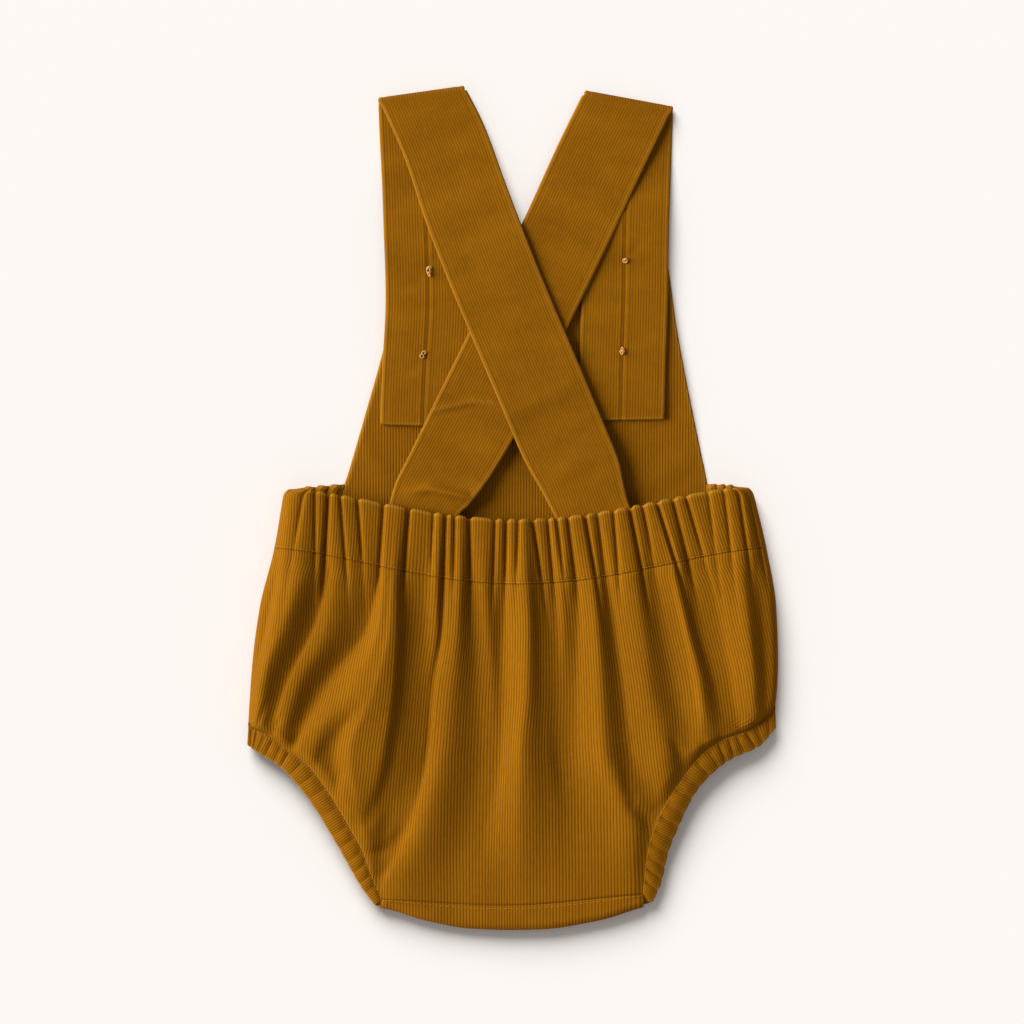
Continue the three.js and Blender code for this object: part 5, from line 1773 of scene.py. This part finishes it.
def tube(path, radius, closed=False, sides=10):
    """Points and faces of a round strand along a path."""
    path = np.asarray(path, float)
    if closed:
        way = unit(np.roll(path, -1, axis=0) - np.roll(path, 1, axis=0))
    else:
        way = unit(np.gradient(path, axis=0))
    helper = np.where(np.abs(way[:, 2:3]) > 0.9, [[1.0, 0, 0]], [[0, 0, 1.0]])
    side = unit(np.cross(way, helper))
    other = np.cross(side, way)
    angles = np.linspace(0, 2 * math.pi, sides, endpoint=False)[None, :, None]
    ring = side[:, None] * np.cos(angles) + other[:, None] * np.sin(angles)
    points = (path[:, None] + radius * ring).reshape(-1, 3)
    faces = []
    count = len(path)
    for i in range(count if closed else count - 1):
        a, b = i * sides, (i + 1) % count * sides
        faces += [(b + j, b + (j + 1) % sides, a + (j + 1) % sides, a + j) for j in range(sides)]
    if not closed:
        last = (count - 1) * sides
        faces.append(tuple(range(sides)))
        faces.append(tuple(last + j for j in range(sides))[::-1])
    return points, faces


def loop_path(x, y, z, wide, high, turn, lift, count=26):
    """A loop of thread that lies on the strap and rises a little on one side."""
    angle = np.linspace(0, 2 * math.pi, count, endpoint=False)
    turn = math.radians(turn)
    across, up = wide * np.cos(angle), high * np.sin(angle)
    return np.stack([
        x + across * math.cos(turn) - up * math.sin(turn),
        y + across * math.sin(turn) + up * math.cos(turn),
        z + lift * (0.5 + 0.5 * np.sin(angle + 0.7)),
    ], axis=1)


def make_button_thread(name, x, y, holes):
    strands = []
    for hx, hy in holes:
        up = [(hx, hy, z) for z in (0.35, 1.0, 1.7, 2.0)]
        gathered = (x + 0.35 * (hx - x), y + 0.35 * (hy - y), 2.5)
        strands.append((up + [gathered, (x, y, 2.9)], BAR, False))
    for side in (-1, 1):
        along = HOLE_STEP * np.array([-1, -0.5, 0, 0.5, 1])
        bar = [(x + side * HOLE_STEP, y + t, 0.62 - 0.12 * (t / HOLE_STEP) ** 2) for t in along]
        strands.append((bar, BAR, False))
    turns = np.linspace(0, 9 * math.pi, 70)
    wound = np.stack([x + 0.55 * np.cos(turns), y + 0.55 * np.sin(turns), np.linspace(2.45, 4.5, 70)], axis=1)
    strands.append((wound, STRAND, False))
    strands.append(([(x, y, z) for z in (2.3, 3.5, 4.8, 5.6, STRAP_TOP + 0.3)], SHANK, False))
    for number, (dx, dy, wide, high, turn) in enumerate(KNOTS[name]):
        z = STRAP_TOP + 0.35 + 0.3 * number
        strands.append((loop_path(x + dx, y + dy, z, wide, high, turn, 0.5), STRAND, True))
    points, faces, count = [], [], 0
    for path, radius, closed in strands:
        more, sides = tube(path, radius, closed)
        points.append(more)
        faces += [tuple(count + i for i in face) for face in sides]
        count += len(more)
    mesh = smooth_mesh(f"button_thread_{name}_strands", np.concatenate(points), faces)
    mesh.materials.append(TAN_THREAD)
    piece = add_object(mesh.name, mesh)
    settle(piece, "thread", f"button_thread_{name}")
    check_closed(piece)


# %% [markdown]
# ## Buttonholes
# Each buttonhole is a slit along the bib, which the shank holds open in the middle. Its edge is
# covered with close stitches set across it, on both faces of the bib.

# %% Make the buttonholes
SLIT = dict(length=14.0, middle=2.5, end=0.5)
SATIN = dict(
    pitch=0.42 * MM, length=1.7 * MM, thickness=0.17 * MM, arch=0.14 * MM, turn=QUARTER, wobble=0.06,
)
SATIN_LIFT = 0.04


def slit_outline(x, y, grow=0.0, count=44):
    """The eye shape of an open buttonhole, grown outwards by `grow`."""
    t = np.linspace(0, 2 * math.pi, count, endpoint=False)
    along = (SLIT["length"] / 2 + grow) * np.sin(t)
    share = np.cos(t)
    open_here = SLIT["end"] + (SLIT["middle"] - SLIT["end"]) * bell(along, 2.6)
    across = np.sign(share) * np.abs(share) ** 0.4 * (open_here / 2 + grow)
    return np.stack([x + across, y + along], axis=1)


def slit_cutter(x, y, low, high):
    ring = slit_outline(x, y)
    count = len(ring)
    points = [(px, py, low) for px, py in ring] + [(px, py, high) for px, py in ring]
    faces = [(i, (i + 1) % count, count + (i + 1) % count, count + i) for i in range(count)]
    faces += [tuple(range(count))[::-1], tuple(range(count, 2 * count))]
    mesh = bpy.data.meshes.new("slit")
    mesh.from_pydata([(px * MM, py * MM, pz * MM) for px, py, pz in points], [], faces)
    return mesh


def make_buttonholes(bib):
    for name, (x, y) in BUTTONS.items():
        middle = float(bib_at(y)["z"])
        cut(bib, slit_cutter(x, y, middle - 3, middle + 3))
        ring = slit_outline(x, y, grow=0.75)
        ring = np.concatenate([ring, ring[:1]])
        lines, ups = [], []
        for face in (-1, 1):
            z = np.full(len(ring), middle + face * (BIB_WALL / 2 + SATIN_LIFT - BURIED))
            lines.append(np.column_stack([ring, z]))
            ups.append(np.tile([0.0, 0.0, float(face)], (len(ring), 1)))
        sew(f"buttonhole_{name}", lines, ups, GOLD_THREAD, **SATIN)
    print(len(BUTTONS), "buttonholes")


# %% [markdown]
# ## Put the cloth together

# %% Make every cloth piece
casing_top = make_back_casing()
panel_top, panel_uv = make_back_panel()
front_top = make_front_panel()
crotch_top = make_crotch_band(panel_top[-1], panel_uv[-1], front_top[-1])
leg_casings = {}
for side in (-1, 1):
    column = 0 if side < 0 else -1
    for skin, panel, rows in (("back", panel_top, BACK_LEG_ROWS), ("front", front_top, FRONT_LEG_ROWS)):
        leg_casings[side, skin] = make_leg_casing(side, skin, panel[-rows:, column])
for side in (-1, 1):
    make_front_casing(side)
bib = make_bib()
straps = {
    "left": make_strap("strap_left", LEFT_STRAP, LEFT_WAVES, LEFT_FRONT_WAVES),
    "right": make_strap("strap_right", RIGHT_STRAP, RIGHT_WAVES, RIGHT_FRONT_WAVES),
}

# %% [markdown]
# ## Sew it together
# The holes are cut before anything else goes through them: one in each strap for every shank,
# and a slit in the bib. Then come the buttons, their threads and the rows of stitches.

# %% Sew on the buttons and stitch the seams
STRAP_HOLE = 1.0
for side, strap in straps.items():
    own = [place for name, place in BUTTONS.items() if name.startswith(side)]
    cut(strap, rods(own, STRAP_HOLE, 3.5, STRAP_TOP + 0.6))
    check_closed(strap)
make_buttonholes(bib)
check_closed(bib)
for name, (x, y) in BUTTONS.items():
    make_button_thread(name, x, y, make_button(name, x, y))
sew_seams()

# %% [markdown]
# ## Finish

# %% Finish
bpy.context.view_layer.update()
